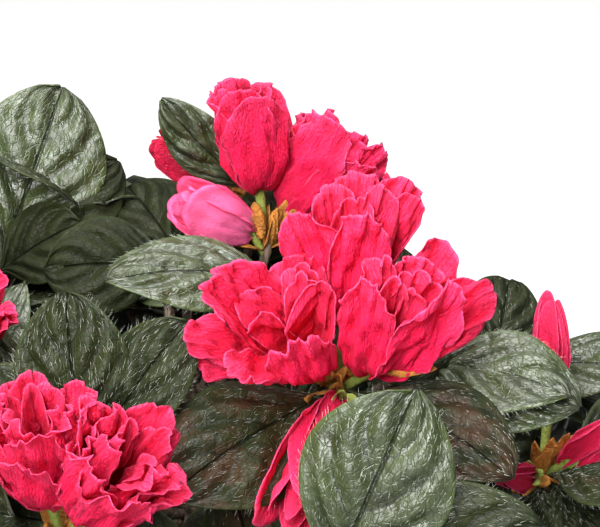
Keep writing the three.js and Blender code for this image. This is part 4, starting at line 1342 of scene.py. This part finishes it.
class AzaleaColours(bpy.types.PropertyGroup):
    """The colours that a user would change."""

    green: colour_of("Leaf green", "Upper face of a leaf", (0.020, 0.029, 0.008))
    flush: colour_of("Leaf flush", "Red-brown flush on older leaves", (0.038, 0.014, 0.006))
    pink: colour_of("Petal pink", "Body of a petal", (1.0, 0.012, 0.088))
    # The petal edge colour is partly the rim's own paler pink and partly a painted highlight on the rim
    # and painted sheen at the tip.
    edge: colour_of("Petal edge", "Thin edge of a petal", (1.0, 0.13, 0.34))
    # The petal heart colour is painted shade at a petal's foot; it also marks the petal's veins and random
    # darker patches.
    deep: colour_of("Petal heart", "Foot and folds of a petal", (0.84, 0.003, 0.02))
    bark: colour_of("Bark", "Trunk and boughs", (0.150, 0.105, 0.070))
    clay: colour_of("Clay", "Fired clay of the pot", (0.46, 0.16, 0.075))
    peat: colour_of("Peat", "Potting soil", (0.030, 0.018, 0.011))
    scale: colour_of("Bud scale", "Papery scales under the blooms", (0.75, 0.30, 0.055))
    calyx: colour_of("Calyx", "Stalks and calyx lobes", (0.22, 0.27, 0.05))


class AZALEA_OT_camera(bpy.types.Operator):
    """Sets the camera where the photograph was taken from"""

    bl_idname = "azalea.camera"
    bl_label = "Camera"

    def execute(self, context):
        data = bpy.data.cameras.new("camera")
        data.lens = LENS
        data.sensor_width = SENSOR
        data.clip_start = 0.01
        made = placed("camera", data)
        made.location = Vector(CAMERA_PLACE * MM)
        made.rotation_euler = (math.pi / 2 - LOOK_DOWN, 0, 0)
        context.scene.camera = made
        return {"FINISHED"}


WHITE = (1, 1, 1, 1)
FLOOR_REACH = 6
FLOOR_TONES = ((0.34, 0.34, 0.338, 1), (0.36, 0.36, 0.358, 1))
BACKDROP_WHITE = 0.973
SKY_STRENGTH = 0.22
FLOOR_GLOW = 0.79
# Each light's name, place, size and power
LIGHTS = (
    ("overhead light", (-0.05, 0.05, 1.35), 0.9, 30.0),
    ("front light", (-0.42, -1.15, 1.05), 0.9, 52.0),
)
LIT_SPOT = Vector((0.03, -0.03, 0.27))


def seen_by_camera(tree):
    return terms_of(tree.nodes.new("ShaderNodeLightPath")).Is_Camera_Ray


class AZALEA_OT_stage(bpy.types.Operator):
    """Lays the pale floor and hangs the soft studio lights"""

    bl_idname = "azalea.stage"
    bl_label = "Stage"

    def execute(self, context):
        bm = bmesh.new()
        bmesh.ops.create_grid(bm, x_segments=1, y_segments=1, size=FLOOR_REACH)
        floor = placed("floor", mesh_of(bm, "floor", False))
        pale = plain_material("pale floor", FLOOR_TONES, 3, 0.9, 0.00005)
        glow = seen_by_camera(pale.node_tree) * FLOOR_GLOW
        settle(pale.node_tree.nodes["Principled BSDF"], Emission_Color=WHITE, Emission_Strength=glow)
        floor.data.materials.append(pale)
        world = bpy.data.worlds.new("studio")
        world.use_nodes = True
        strength = seen_by_camera(world.node_tree) * (BACKDROP_WHITE - SKY_STRENGTH) + SKY_STRENGTH
        settle(world.node_tree.nodes["Background"], Color=WHITE, Strength=strength)
        context.scene.world = world
        context.scene.view_settings.view_transform = "Standard"
        for name, place, size, watts in LIGHTS:
            data = bpy.data.lights.new(name, "AREA")
            data.size = size
            data.energy = watts
            light = placed(name, data)
            light.location = place
            light.rotation_euler = (LIT_SPOT - light.location).to_track_quat("-Z", "Y").to_euler()
        return {"FINISHED"}


POT_SIDES = 144
POT_STRAIGHT = 4.0
CORNER_STEPS = 5
# The waves of a hand-thrown wall: how many to the metre, and how deep
POT_SWAYS = ((22, 0.0004), (160, 0.00008))
POT_SWAYS_FROM = 0.02
DRILL_SIDES = 32


def pot_side(height):
    """How far out the pot's outer wall is, without its rim."""
    return POT_FOOT_RADIUS + POT_SLOPE * height


def rounded(corners):
    """A line through corners, each rounded by its own radius, in short stretches."""
    spots = [vec(corners[0][:2])]
    for before, here, after in zip(corners, corners[1:], corners[2:]):
        at = vec(here[:2])
        back, on = unit(vec(before[:2]) - at), unit(vec(after[:2]) - at)
        cut = here[2] / math.tan(math.acos(max(-1, min(1, back @ on))) / 2)
        for k in range(CORNER_STEPS + 1):
            spots.append(curved(at + back * cut, at, at + on * cut, k / CORNER_STEPS))
    spots.append(vec(corners[-1][:2]))
    line = [spots[0]]
    for a, b in zip(spots, spots[1:]):
        parts = max(1, math.ceil(np.linalg.norm(b - a) / POT_STRAIGHT))
        line += [between(a, b, k / parts) for k in range(1, parts + 1)]
    return line


class AZALEA_OT_pot(bpy.types.Operator):
    """Throws the clay pot and pierces its floor"""

    bl_idname = "azalea.pot"
    bl_label = "Pot"

    def execute(self, context):
        bm = turned(self.profile(), POT_SIDES)
        for vert in bm.verts:
            out = Vector((vert.co.x, vert.co.y, 0))
            if out.length > POT_SWAYS_FROM:
                sway = sum(noise.noise(vert.co * pitch) * depth for pitch, depth in POT_SWAYS)
                vert.co += out.normalized() * sway
        clay = clay_material("fired clay", context.scene.azalea_colours.clay)
        self.pierce(piece("pot", mesh_of(bm, "pot"), [clay], ["clay_pot"]))
        return {"FINISHED"}

    def profile(self):
        """The pot's wall from the middle of its underside to the middle of its floor."""
        shoulder = POT_HEIGHT - POT_RIM_HEIGHT
        return rounded((
            (0, 0, 0), (pot_side(0), 0, 1.4), (pot_side(shoulder), shoulder, 0.6),
            (pot_side(shoulder) + POT_RIM_STEP, shoulder + 1.2, 1.2), (POT_RIM_RADIUS, POT_HEIGHT, 2.2),
            (pot_side(POT_HEIGHT) - POT_WALL, POT_HEIGHT, 1.8),
            (pot_side(POT_FLOOR) - POT_WALL, POT_FLOOR, 3), (0, POT_FLOOR, 0),
        ))

    def pierce(self, pot):
        """Bores the drain holes with one cutter."""
        bm = bmesh.new()
        for k in range(DRAIN_HOLES):
            turn = k * math.tau / DRAIN_HOLES + math.pi / 2
            made = bmesh.ops.create_cone(
                bm, cap_ends=True, segments=DRILL_SIDES, radius1=DRAIN_HOLE_RADIUS * MM,
                radius2=DRAIN_HOLE_RADIUS * MM, depth=3 * POT_FLOOR * MM,
            )
            place = Vector((math.cos(turn), math.sin(turn), 0)) * DRAIN_HOLES_OUT * MM
            bmesh.ops.translate(bm, verts=made["verts"], vec=place)
        drill = placed("drill", mesh_of(bm, "drill", False))
        cut = pot.modifiers.new("drain holes", "BOOLEAN")
        cut.operation = "DIFFERENCE"
        cut.object = drill
        pierced = evaluated(pot)
        pot.modifiers.clear()
        pot.data = pierced
        bpy.data.objects.remove(drill)


SOIL_SIDES = 96
SOIL_RINGS = 26
SOIL_CLEARANCE = 0.4
SOIL_EDGE = 3
SOIL_LUMPS = (260, 0.0007, 0.0006)
CRUMBS = 2600
CRUMB_SPREAD = (0.35, 1.25)
CRUMB_SHRINK = (0.5, 1)
CRUMB_DENT = 0.28
CHIP_TONES = ((0.09, 0.05, 0.03, 1), (0.2, 0.12, 0.07, 1))
GRIT_TONES = ((0.55, 0.53, 0.5, 1), (0.75, 0.73, 0.7, 1))
SLIVER = (2.4, 0.7, 0.4)
SLIVERS_FROM = 0.8
CHIPS_TO = 0.95
GRIT_FROM = 0.985


def soil_side(height):
    """How far out the soil reaches, clear of the pot's wall."""
    return pot_side(height) - POT_WALL - SOIL_CLEARANCE


def soil_top(out):
    """How high the soil is, so far from the pot's middle."""
    level = TRUNK_RADIUS * 2.5
    return SOIL_LEVEL - SOIL_DISH * max(0, out - level) / (POT_RIM_RADIUS - level)


class AZALEA_OT_soil(bpy.types.Operator):
    """Fills the pot with crumbly potting soil"""

    bl_idname = "azalea.soil"
    bl_label = "Potting soil"

    def execute(self, context):
        floor, edge = POT_FLOOR + TOUCH_GAP, SOIL_LEVEL - SOIL_DISH
        profile = [(0, floor), (soil_side(POT_FLOOR), floor), (soil_side(edge), edge)]
        for k in range(1, SOIL_RINGS + 1):
            out = soil_side(SOIL_LEVEL) * (1 - k / SOIL_RINGS)
            profile.append((out, soil_top(out)))
        bm = turned(profile, SOIL_SIDES)
        pitch, high, sunk = SOIL_LUMPS
        for vert in bm.verts:
            is_inside = math.hypot(vert.co.x, vert.co.y) / MM < soil_side(SOIL_LEVEL) - SOIL_EDGE
            if is_inside and vert.co.z > (edge - 1) * MM:
                vert.co.z += noise.noise(vert.co * pitch) * high - sunk
        brown = context.scene.azalea_colours.peat
        peat = plain_material("peat", (shade(brown, 0.6), shade(brown, 1.8)), 300, 0.95, 0.0008)
        piece("potting_soil_bed", mesh_of(bm, "soil"), [peat], ["potting_soil"])
        self.scatter(context, peat)
        return {"FINISHED"}

    def scatter(self, context, peat):
        """Strews crumbs of peat, slivers of bark and a few white grains over the bed."""
        rng = np.random.default_rng(SEEDS["crumb"])
        bm = bmesh.new()
        bmesh.ops.create_icosphere(bm, subdivisions=1, radius=1)
        ball, faces = arrays_of(bm, 3)
        pile = Pile()
        common = context.scene.azalea_sizes.crumb_size / MM
        reach = soil_side(SOIL_LEVEL) - 2
        nearest = (TRUNK_RADIUS * (1 + ROOT_FLARE) + 1) / reach
        for k in range(CRUMBS):
            out = math.sqrt(rng.uniform(nearest ** 2, 1)) * reach
            turn = rng.uniform(0, math.tau)
            kind = rng.random()
            size = common * rng.uniform(*CRUMB_SPREAD) * rng.uniform(*CRUMB_SHRINK)
            lumps = 1 + CRUMB_DENT * np.sin(ball @ rng.normal(0, 3, 3) + rng.uniform(0, 6))
            shape = ball * lumps[:, None] * size * vec((1, 1, 1) if kind < SLIVERS_FROM else SLIVER)
            spin = Matrix.Rotation(-rng.uniform(0, math.tau), 3, "Z")
            spot = vec((out * math.cos(turn), out * math.sin(turn), soil_top(out) + size * 0.1))
            slot = 1 if SLIVERS_FROM < kind < CHIPS_TO else (2 if kind > GRIT_FROM else 0)
            pile.add(shape @ np.array(spin) + spot, faces, slots=np.full(len(faces), slot))
        chips = plain_material("bark chips", CHIP_TONES, 500, 0.9, 0.0003)
        grit = plain_material("white grit", GRIT_TONES, 700, 0.9, 0.0003)
        piece("soil_crumbs", pile.mesh("soil crumbs"), [peat, chips, grit])


BARK_VOXEL = 0.0007
BARK_SMOOTHINGS = 3
# The relief of the bark: how many strips to the metre across and along, and how high
BARK_STRIPS = ((420, 70, 0.0005), (900, 240, 0.00022))
BARE_FOOT = 0.002
TRUNK_STUB = 4
TRUNK_RINGS = 60
TRUNK_SIDES = 60
TRUNK_TAPER = 1.3
ROOT_SPREAD = (0.75, 0.4)
BOUGH_STEPS = 14
BOUGH_SIDES = 14
BOUGH_KNOTS = 17
BOUGH_KNOT_HEIGHT = 0.05
BOUGH_COLLAR = 0.9
BOUGH_COLLAR_FADE = 14


class AZALEA_OT_wood(bpy.types.Operator):
    """Grows the trunk and its boughs as one barked limb"""

    bl_idname = "azalea.wood"
    bl_label = "Trunk and boughs"

    def execute(self, context):
        middles = hearts(grow(context.scene.azalea_sizes))
        pile = Pile()
        self.trunk(pile)
        for mass, (_, _, rise) in enumerate(MASSES):
            if rise < TRUNK_HEIGHT:
                path, _ = bough_path(rise, middles[mass], BOUGH_STEPS)
                share = np.linspace(0, 1, BOUGH_STEPS + 1)
                knots = 1 + BOUGH_KNOT_HEIGHT * np.sin(share * BOUGH_KNOTS + mass)
                radii = between(BOUGH_BASE_RADIUS, BOUGH_TIP_RADIUS, share) * knots
                collar = BOUGH_COLLAR * np.exp(-share * BOUGH_COLLAR_FADE)
                tube(pile, path, radii + collar, BOUGH_SIDES)
        raw = placed("raw wood", pile.mesh("raw wood"))
        remesh = raw.modifiers.new("remesh", "REMESH")
        remesh.mode = "VOXEL"
        remesh.voxel_size = BARK_VOXEL
        bm = bmesh.new()
        bm.from_mesh(evaluated(raw))
        bpy.data.objects.remove(raw)
        for _ in range(BARK_SMOOTHINGS):
            bmesh.ops.smooth_vert(
                bm, verts=bm.verts[:], factor=0.5, use_axis_x=True, use_axis_y=True, use_axis_z=True
            )
        bm.normal_update()
        moves = [vert.normal * self.relief(vert.co) for vert in bm.verts]
        for vert, move in zip(bm.verts, moves):
            vert.co += move
        nodes = ["trunk"] + [n.replace("foliage", "bough") for n, _, rise in MASSES if rise < TRUNK_HEIGHT]
        bark = bark_material("bark", context.scene.azalea_colours.bark)
        piece("trunk_and_boughs", mesh_of(bm, "bark"), [bark], nodes)
        return {"FINISHED"}

    def trunk(self, pile):
        turns = np.arange(TRUNK_SIDES) * math.tau / TRUNK_SIDES
        circle = np.stack([np.cos(turns), np.sin(turns), 0 * turns], axis=1)
        lobes = ROOT_SPREAD[0] + ROOT_SPREAD[1] * np.cos(ROOT_LOBES * turns)
        rings = []
        for height in np.linspace(0, TRUNK_HEIGHT + TRUNK_STUB, TRUNK_RINGS):
            share = min(1, height / TRUNK_HEIGHT)
            radius = between(TRUNK_RADIUS, TRUNK_TIP_RADIUS, share ** TRUNK_TAPER)
            left = max(0, 1 - height / ROOT_FLARE_HEIGHT) ** 2
            flared = radius * (1 + ROOT_FLARE * left * lobes)
            rings.append(trunk_at(height) + circle * flared[:, None])
        limb(pile, rings, (rings[0].mean(axis=0), rings[-1].mean(axis=0)))

    def relief(self, spot):
        """Bark in lengthwise strips, fading out where the trunk meets the soil."""
        strips = sum(
            noise.noise(Vector((spot.x * pitch, spot.y * pitch, spot.z * along))) * high
            for pitch, along, high in BARK_STRIPS
        )
        above_ground = spot.z - (SOIL_LEVEL + TOUCH_GAP) * MM
        return strips * min(1, max(0, above_ground / BARE_FOOT))


STEM_STEPS = 10
STEM_SIDES = 10
TWIG_STEPS = 12
TWIG_SIDES = 8
TWIG_KNOTS = 40
TWIG_KNOT_HEIGHT = 0.12
# Where the first twig leaves its stem, and how far on the last one does
FORKS = (0.2, 0.75)


class AZALEA_OT_twigs(bpy.types.Operator):
    """Grows the stems and twigs of each foliage mass"""

    bl_idname = "azalea.twigs"
    bl_label = "Twigs"

    def execute(self, context):
        shoots = grow(context.scene.azalea_sizes)
        pile = Pile()
        for mass, heart in enumerate(hearts(shoots)):
            own = [s for s in shoots if s.mass == mass]
            path = stem_path(mass, heart)
            radii = np.linspace(STEM_RADIUS, TWIG_RADIUS, STEM_STEPS + 1)
            tube(pile, smooth_path(path, STEM_STEPS), radii, STEM_SIDES)
            for n, shoot in enumerate(own):
                fork = between(path[1], path[2], FORKS[0] + FORKS[1] * n / max(1, len(own) - 1))
                self.twig(pile, fork, shoot)
        bark = bark_material("twig bark", shade(context.scene.azalea_colours.bark, 1.1))
        piece("twigs", pile.mesh("twigs"), [bark])
        return {"FINISHED"}

    def twig(self, pile, fork, shoot):
        elbow = shoot.tip - shoot.axis * SHOOT_LENGTH
        is_far = np.linalg.norm(fork - elbow) > NEAREST_ELBOW
        line = smooth_path([fork, elbow, shoot.tip] if is_far else [fork, shoot.tip], TWIG_STEPS)
        share = np.linspace(0, 1, TWIG_STEPS + 1)
        knots = 1 + TWIG_KNOT_HEIGHT * np.clip(np.sin(share * TWIG_KNOTS + shoot.index), 0, 1)
        tube(pile, line, between(TWIG_RADIUS, TWIG_TIP_RADIUS, share) * knots, TWIG_SIDES)


CLOSE_RIGHT = 84
CLOSE_UP = 74
CLOSE_DEPTH = 640
FLUSHED_SHARE = 0.2
FRESH_FROM = 0.66
TINT_STEP = 0.618
FRONT_DEPTH = 555
HAIRS_IN_FRONT = 420
HAIRS_BEHIND = 90
HAIR_TONES = ((0.5, 0.52, 0.44, 1), (0.7, 0.72, 0.64, 1))
# Each tint's shade of green, its share of flush, its roughness and its gloss. The shaded tint is painted
# shade: a darker, duller copy of the leaf for leaves that lie in shade.
LEAF_TINTS = {
    "deep": (0.6, 0.1, 0.34, 0.22),
    "fresh": (1.3, 0.05, 0.28, 0.85),
    "shaded": (0.42, 0.1, 0.44, 0.15),
    "flushed": (0.6, 0.9, 0.32, 0.24),
}


def tint_of(leaf, k):
    """Which tint a leaf has: its own, or one dealt to it."""
    pick = (k * TINT_STEP) % 1
    dealt = "flushed" if pick < FLUSHED_SHARE else ("fresh" if pick > FRESH_FROM else "deep")
    return leaf.tint or dealt


def is_close(leaf):
    """Whether a leaf is near enough to the viewer to need its finer relief."""
    right, up, depth = sight(leaf.spots())
    return bool(((np.abs(right) < CLOSE_RIGHT) & (np.abs(up) < CLOSE_UP) & (depth < CLOSE_DEPTH)).any())


def is_in_front(leaf):
    """Whether a leaf is one of the nearest, whose hairs show best."""
    return bool(leaf.tint and sight(leaf.spots())[2].min() < FRONT_DEPTH)


class AZALEA_OT_leaves(bpy.types.Operator):
    """Grows the leaves and the hairs on the near ones"""

    bl_idname = "azalea.leaves"
    bl_label = "Leaves"

    def execute(self, context):
        sizes = context.scene.azalea_sizes
        near, middle, far = Shell(26, 30), Shell(12, 16), Shell(4, 6)
        piles = {tint: Pile() for tint in LEAF_TINTS}
        hairs = Pile()
        for k, leaf in enumerate(leaf for shoot in grow(sizes) for leaf in shoot.leaves):
            tint = tint_of(leaf, k)
            shell = far if not is_close(leaf) else (near if leaf.tint else middle)
            sheet = leaf_sheet(leaf, shell, SEEDS["leaf"] + k)
            shell.pour(piles[tint], sheet, sizes.leaf_thickness / MM)
            if is_close(leaf) and tint != "shaded":
                count = HAIRS_IN_FRONT if is_in_front(leaf) else HAIRS_BEHIND
                leaf_hairs(hairs, sheet, count, sizes, SEEDS["hair"] + k)
        colours = context.scene.azalea_colours
        under = leaf_under_material("leaf underside", colours.green)
        for tint, (factor, *finish) in LEAF_TINTS.items():
            upper = leaf_material(tint + " leaf", shade(colours.green, factor), colours.flush, *finish)
            nodes = MASS_NAMES if tint == "deep" else ()
            piece("leaves_" + tint, piles[tint].mesh("leaves " + tint), [upper, under], nodes)
        pale = plain_material("leaf hair", HAIR_TONES, 800, 0.5, 0.00001)
        piece("leaf_hairs", hairs.mesh("leaf hairs"), [pale])
        return {"FINISHED"}


PETAL_RELIEF = 0.0014
# A paler pink for the smooth bud: partly the bud's own paler colour, partly a painted highlight.
PALE_AND_HIGHLIGHT_PINK = (1, 0.17, 0.4, 1)
PALE_RELIEF = 0.0003
# The forms whose petals take a lighter or a darker copy of the petal finish: the lighter copy is partly
# the bud's own paler pink and partly a painted highlight, the darker copy is painted shade for a bud that
# lies in shade.
PAINTED_LIGHT_TINTS = {"smooth": "pale", "closed": "dark"}


class AZALEA_OT_blooms(bpy.types.Operator):
    """Opens the blooms and buds, petal by petal"""

    bl_idname = "azalea.blooms"
    bl_label = "Blooms"

    def execute(self, context):
        sizes = context.scene.azalea_sizes
        shells = {"centre": Shell(46, 26), "shown": Shell(22, 14), "crown": Shell(7, 6)}
        shells["pale"] = shells["dark"] = shells["shown"]
        faces = self.faces(context.scene.azalea_colours)
        piles = {}
        for shoot in grow(sizes):
            for bloom in shoot.blooms:
                group = "centre" if bloom.form in CENTRE_BLOOMS else ("shown" if shoot.shown else "crown")
                # Two buds take a copy of the petal finish with painted light: a paler one that is partly
                # painted highlight, a darker one that is painted shade.
                group = PAINTED_LIGHT_TINTS.get(bloom.form, group)
                petals = petals_of(bloom, sizes.bloom_length / MM)
                pile = piles.setdefault(group, Pile())
                for sheet in petal_sheets(petals, shells[group], SEEDS["petal"] + bloom.seed):
                    shells[group].pour(pile, sheet, sizes.petal_thickness / MM)
        for group, pile in piles.items():
            own = faces.get(group, faces["common"])
            piece("blooms_" + group, pile.mesh("blooms " + group), own)
        return {"FINISHED"}

    def faces(self, colours):
        """The materials of a petal's inner face and its back, for each group that has its own."""
        pink, edge, deep = colours.pink, colours.edge, colours.deep
        inner = petal_material("petal", pink, edge, deep, PETAL_RELIEF)
        back = petal_material("petal back", shade(pink, 1.15), edge, pink, PETAL_RELIEF)
        # The pale petal is partly the bud's own paler pink and partly a painted highlight; the next, at
        # half the pink, is painted shade.
        pale = petal_material("pale petal", PALE_AND_HIGHLIGHT_PINK, pink, shade(PALE_AND_HIGHLIGHT_PINK, 0.9), PALE_RELIEF)
        dark = petal_material("dark petal", shade(pink, 0.5), pink, shade(deep, 0.5), PETAL_RELIEF)
        return {"common": [inner, back], "pale": [pale, pale], "dark": [dark, dark]}


STALK_STEPS = 6
STALK_RADII = (0.95, 1.6)
STALK_SIDES = 8
LOBE_THICKNESS = 0.25
CALYX_LOBES = 5
SCALES_UNDER_BLOOM = 5
SCALE_LENGTHS = (6, 12)
# A calyx lobe's length, width and spread, and the width and spread of a scale
CALYX_LOBE = (7, 3.4, 0.35)
SCALE_SHAPE = (4.5, 0.75)
# Where a lobe is widest and how it is cupped, curled and ruffled, and the same for a shown scale
LOBE_WIDEST = 0.55
LOBE_BELLY = 0.12
LOBE_EDGE = (0.6, 0.3)
SCALE_WIDEST = 0.6
SCALE_FORM = (1.2, 0.8, 0.6)
# The papery scales that show: base, tip, facing and width
SHOWN_SCALES = (
    ((57, -65, 279), (71.5, -69, 281), (0, -0.75, 0.65), 4.5),
    ((49, -56, 274), (53, -60, 280), (0, -1, 0.3), 7),
    ((46, -56, 274), (39, -62, 277), (0, -0.8, 0.6), 6),
    ((32, 12, 292), (36, 12, 303), (0, -1, 0.2), 7),
    ((26, 10, 290), (24, 9, 301), (0, -1, 0.2), 5),
    ((33, 12, 291), (41, 10, 300), (0, -1, 0.3), 6),
)


class AZALEA_OT_stalks(bpy.types.Operator):
    """Sets the stalks, calyx lobes and papery bud scales under the blooms"""

    bl_idname = "azalea.stalks"
    bl_label = "Stalks and scales"

    def execute(self, context):
        sizes = context.scene.azalea_sizes
        colours = context.scene.azalea_colours
        shell = Shell(4, 5)
        stalks, scales = Pile(), Pile()
        for shoot in grow(sizes):
            for bloom in shoot.blooms:
                rng = np.random.default_rng(SEEDS["stalk"] + bloom.seed)
                foot = bloom_foot(bloom, sizes.bloom_length / MM)
                way = unit(foot - bloom.root)
                line = smooth_path([bloom.root, between(bloom.root, foot, 0.5), foot], STALK_STEPS)
                tube(stalks, line, np.linspace(*STALK_RADII, STALK_STEPS + 1), STALK_SIDES)
                for k in range(CALYX_LOBES):
                    turn = k * math.tau / CALYX_LOBES + rng.uniform(0, 0.5)
                    self.blade(stalks, shell, foot - way, way, turn, *CALYX_LOBE)
                for k in range(SCALES_UNDER_BLOOM):
                    turn, length = rng.uniform(0, math.tau), rng.uniform(*SCALE_LENGTHS)
                    self.blade(scales, shell, bloom.root + way * 2, way, turn, length, *SCALE_SHAPE)
        for base, tip, face, width in SHOWN_SCALES:
            base, tip = vec(base), vec(tip)
            side = unit(np.cross(tip - base, vec(face))) * width / 2
            middle = between(base, tip, SCALE_WIDEST)
            petal = Petal(base, middle - side, tip, middle + side, *SCALE_FORM)
            shell.pour(scales, petal_sheets([petal], shell, SEEDS["scale"])[0], LOBE_THICKNESS)
        tones = shade(colours.calyx, 0.8), shade(colours.calyx, 1.3)
        green = plain_material("calyx", tones, 200, 0.6, 0.0002, 0.1)
        tones = shade(colours.scale, 0.5), colours.scale
        rust = plain_material("bud scale", tones, 180, 0.75, 0.0006, 0.25)
        piece("bloom_stalks", stalks.mesh("bloom stalks"), [green])
        piece("bud_scales", scales.mesh("bud scales"), [rust])
        return {"FINISHED"}

    def blade(self, pile, shell, base, way, turn, length, width, spread):
        """A small pointed blade that stands off a stalk."""
        out = round_axis(way, turn)
        tip = base + way * length + out * length * spread
        side = np.cross(way, out) * width / 2
        middle = between(base, tip, LOBE_WIDEST)
        petal = Petal(base, middle + side, tip, middle - side, length * LOBE_BELLY, *LOBE_EDGE)
        shell.pour(pile, petal_sheets([petal], shell, int(turn * 1000))[0], LOBE_THICKNESS)


class AZALEA_PT_panel(bpy.types.Panel):
    """Lists the azalea's sizes, colours and pieces"""

    bl_label = "Azalea"
    bl_space_type = "VIEW_3D"
    bl_region_type = "UI"
    bl_category = "Azalea"

    def draw(self, context):
        for group in (context.scene.azalea_sizes, context.scene.azalea_colours):
            for name in group.__annotations__:
                self.layout.prop(group, name)
        for operator in OPERATORS:
            self.layout.operator(operator.bl_idname)


OPERATORS = (
    AZALEA_OT_camera, AZALEA_OT_stage, AZALEA_OT_pot, AZALEA_OT_soil, AZALEA_OT_wood,
    AZALEA_OT_twigs, AZALEA_OT_leaves, AZALEA_OT_blooms, AZALEA_OT_stalks,
)
CLASSES = (AzaleaSizes, AzaleaColours, *OPERATORS, AZALEA_PT_panel)


def register():
    for each in CLASSES:
        bpy.utils.register_class(each)
    bpy.types.Scene.azalea_sizes = bpy.props.PointerProperty(type=AzaleaSizes)
    bpy.types.Scene.azalea_colours = bpy.props.PointerProperty(type=AzaleaColours)


def unregister():
    del bpy.types.Scene.azalea_sizes
    del bpy.types.Scene.azalea_colours
    for each in reversed(CLASSES):
        bpy.utils.unregister_class(each)


def main():
    register()
    for operator in OPERATORS:
        group, name = operator.bl_idname.split(".")
        getattr(getattr(bpy.ops, group), name)()


if __name__ == "__main__":
    main()
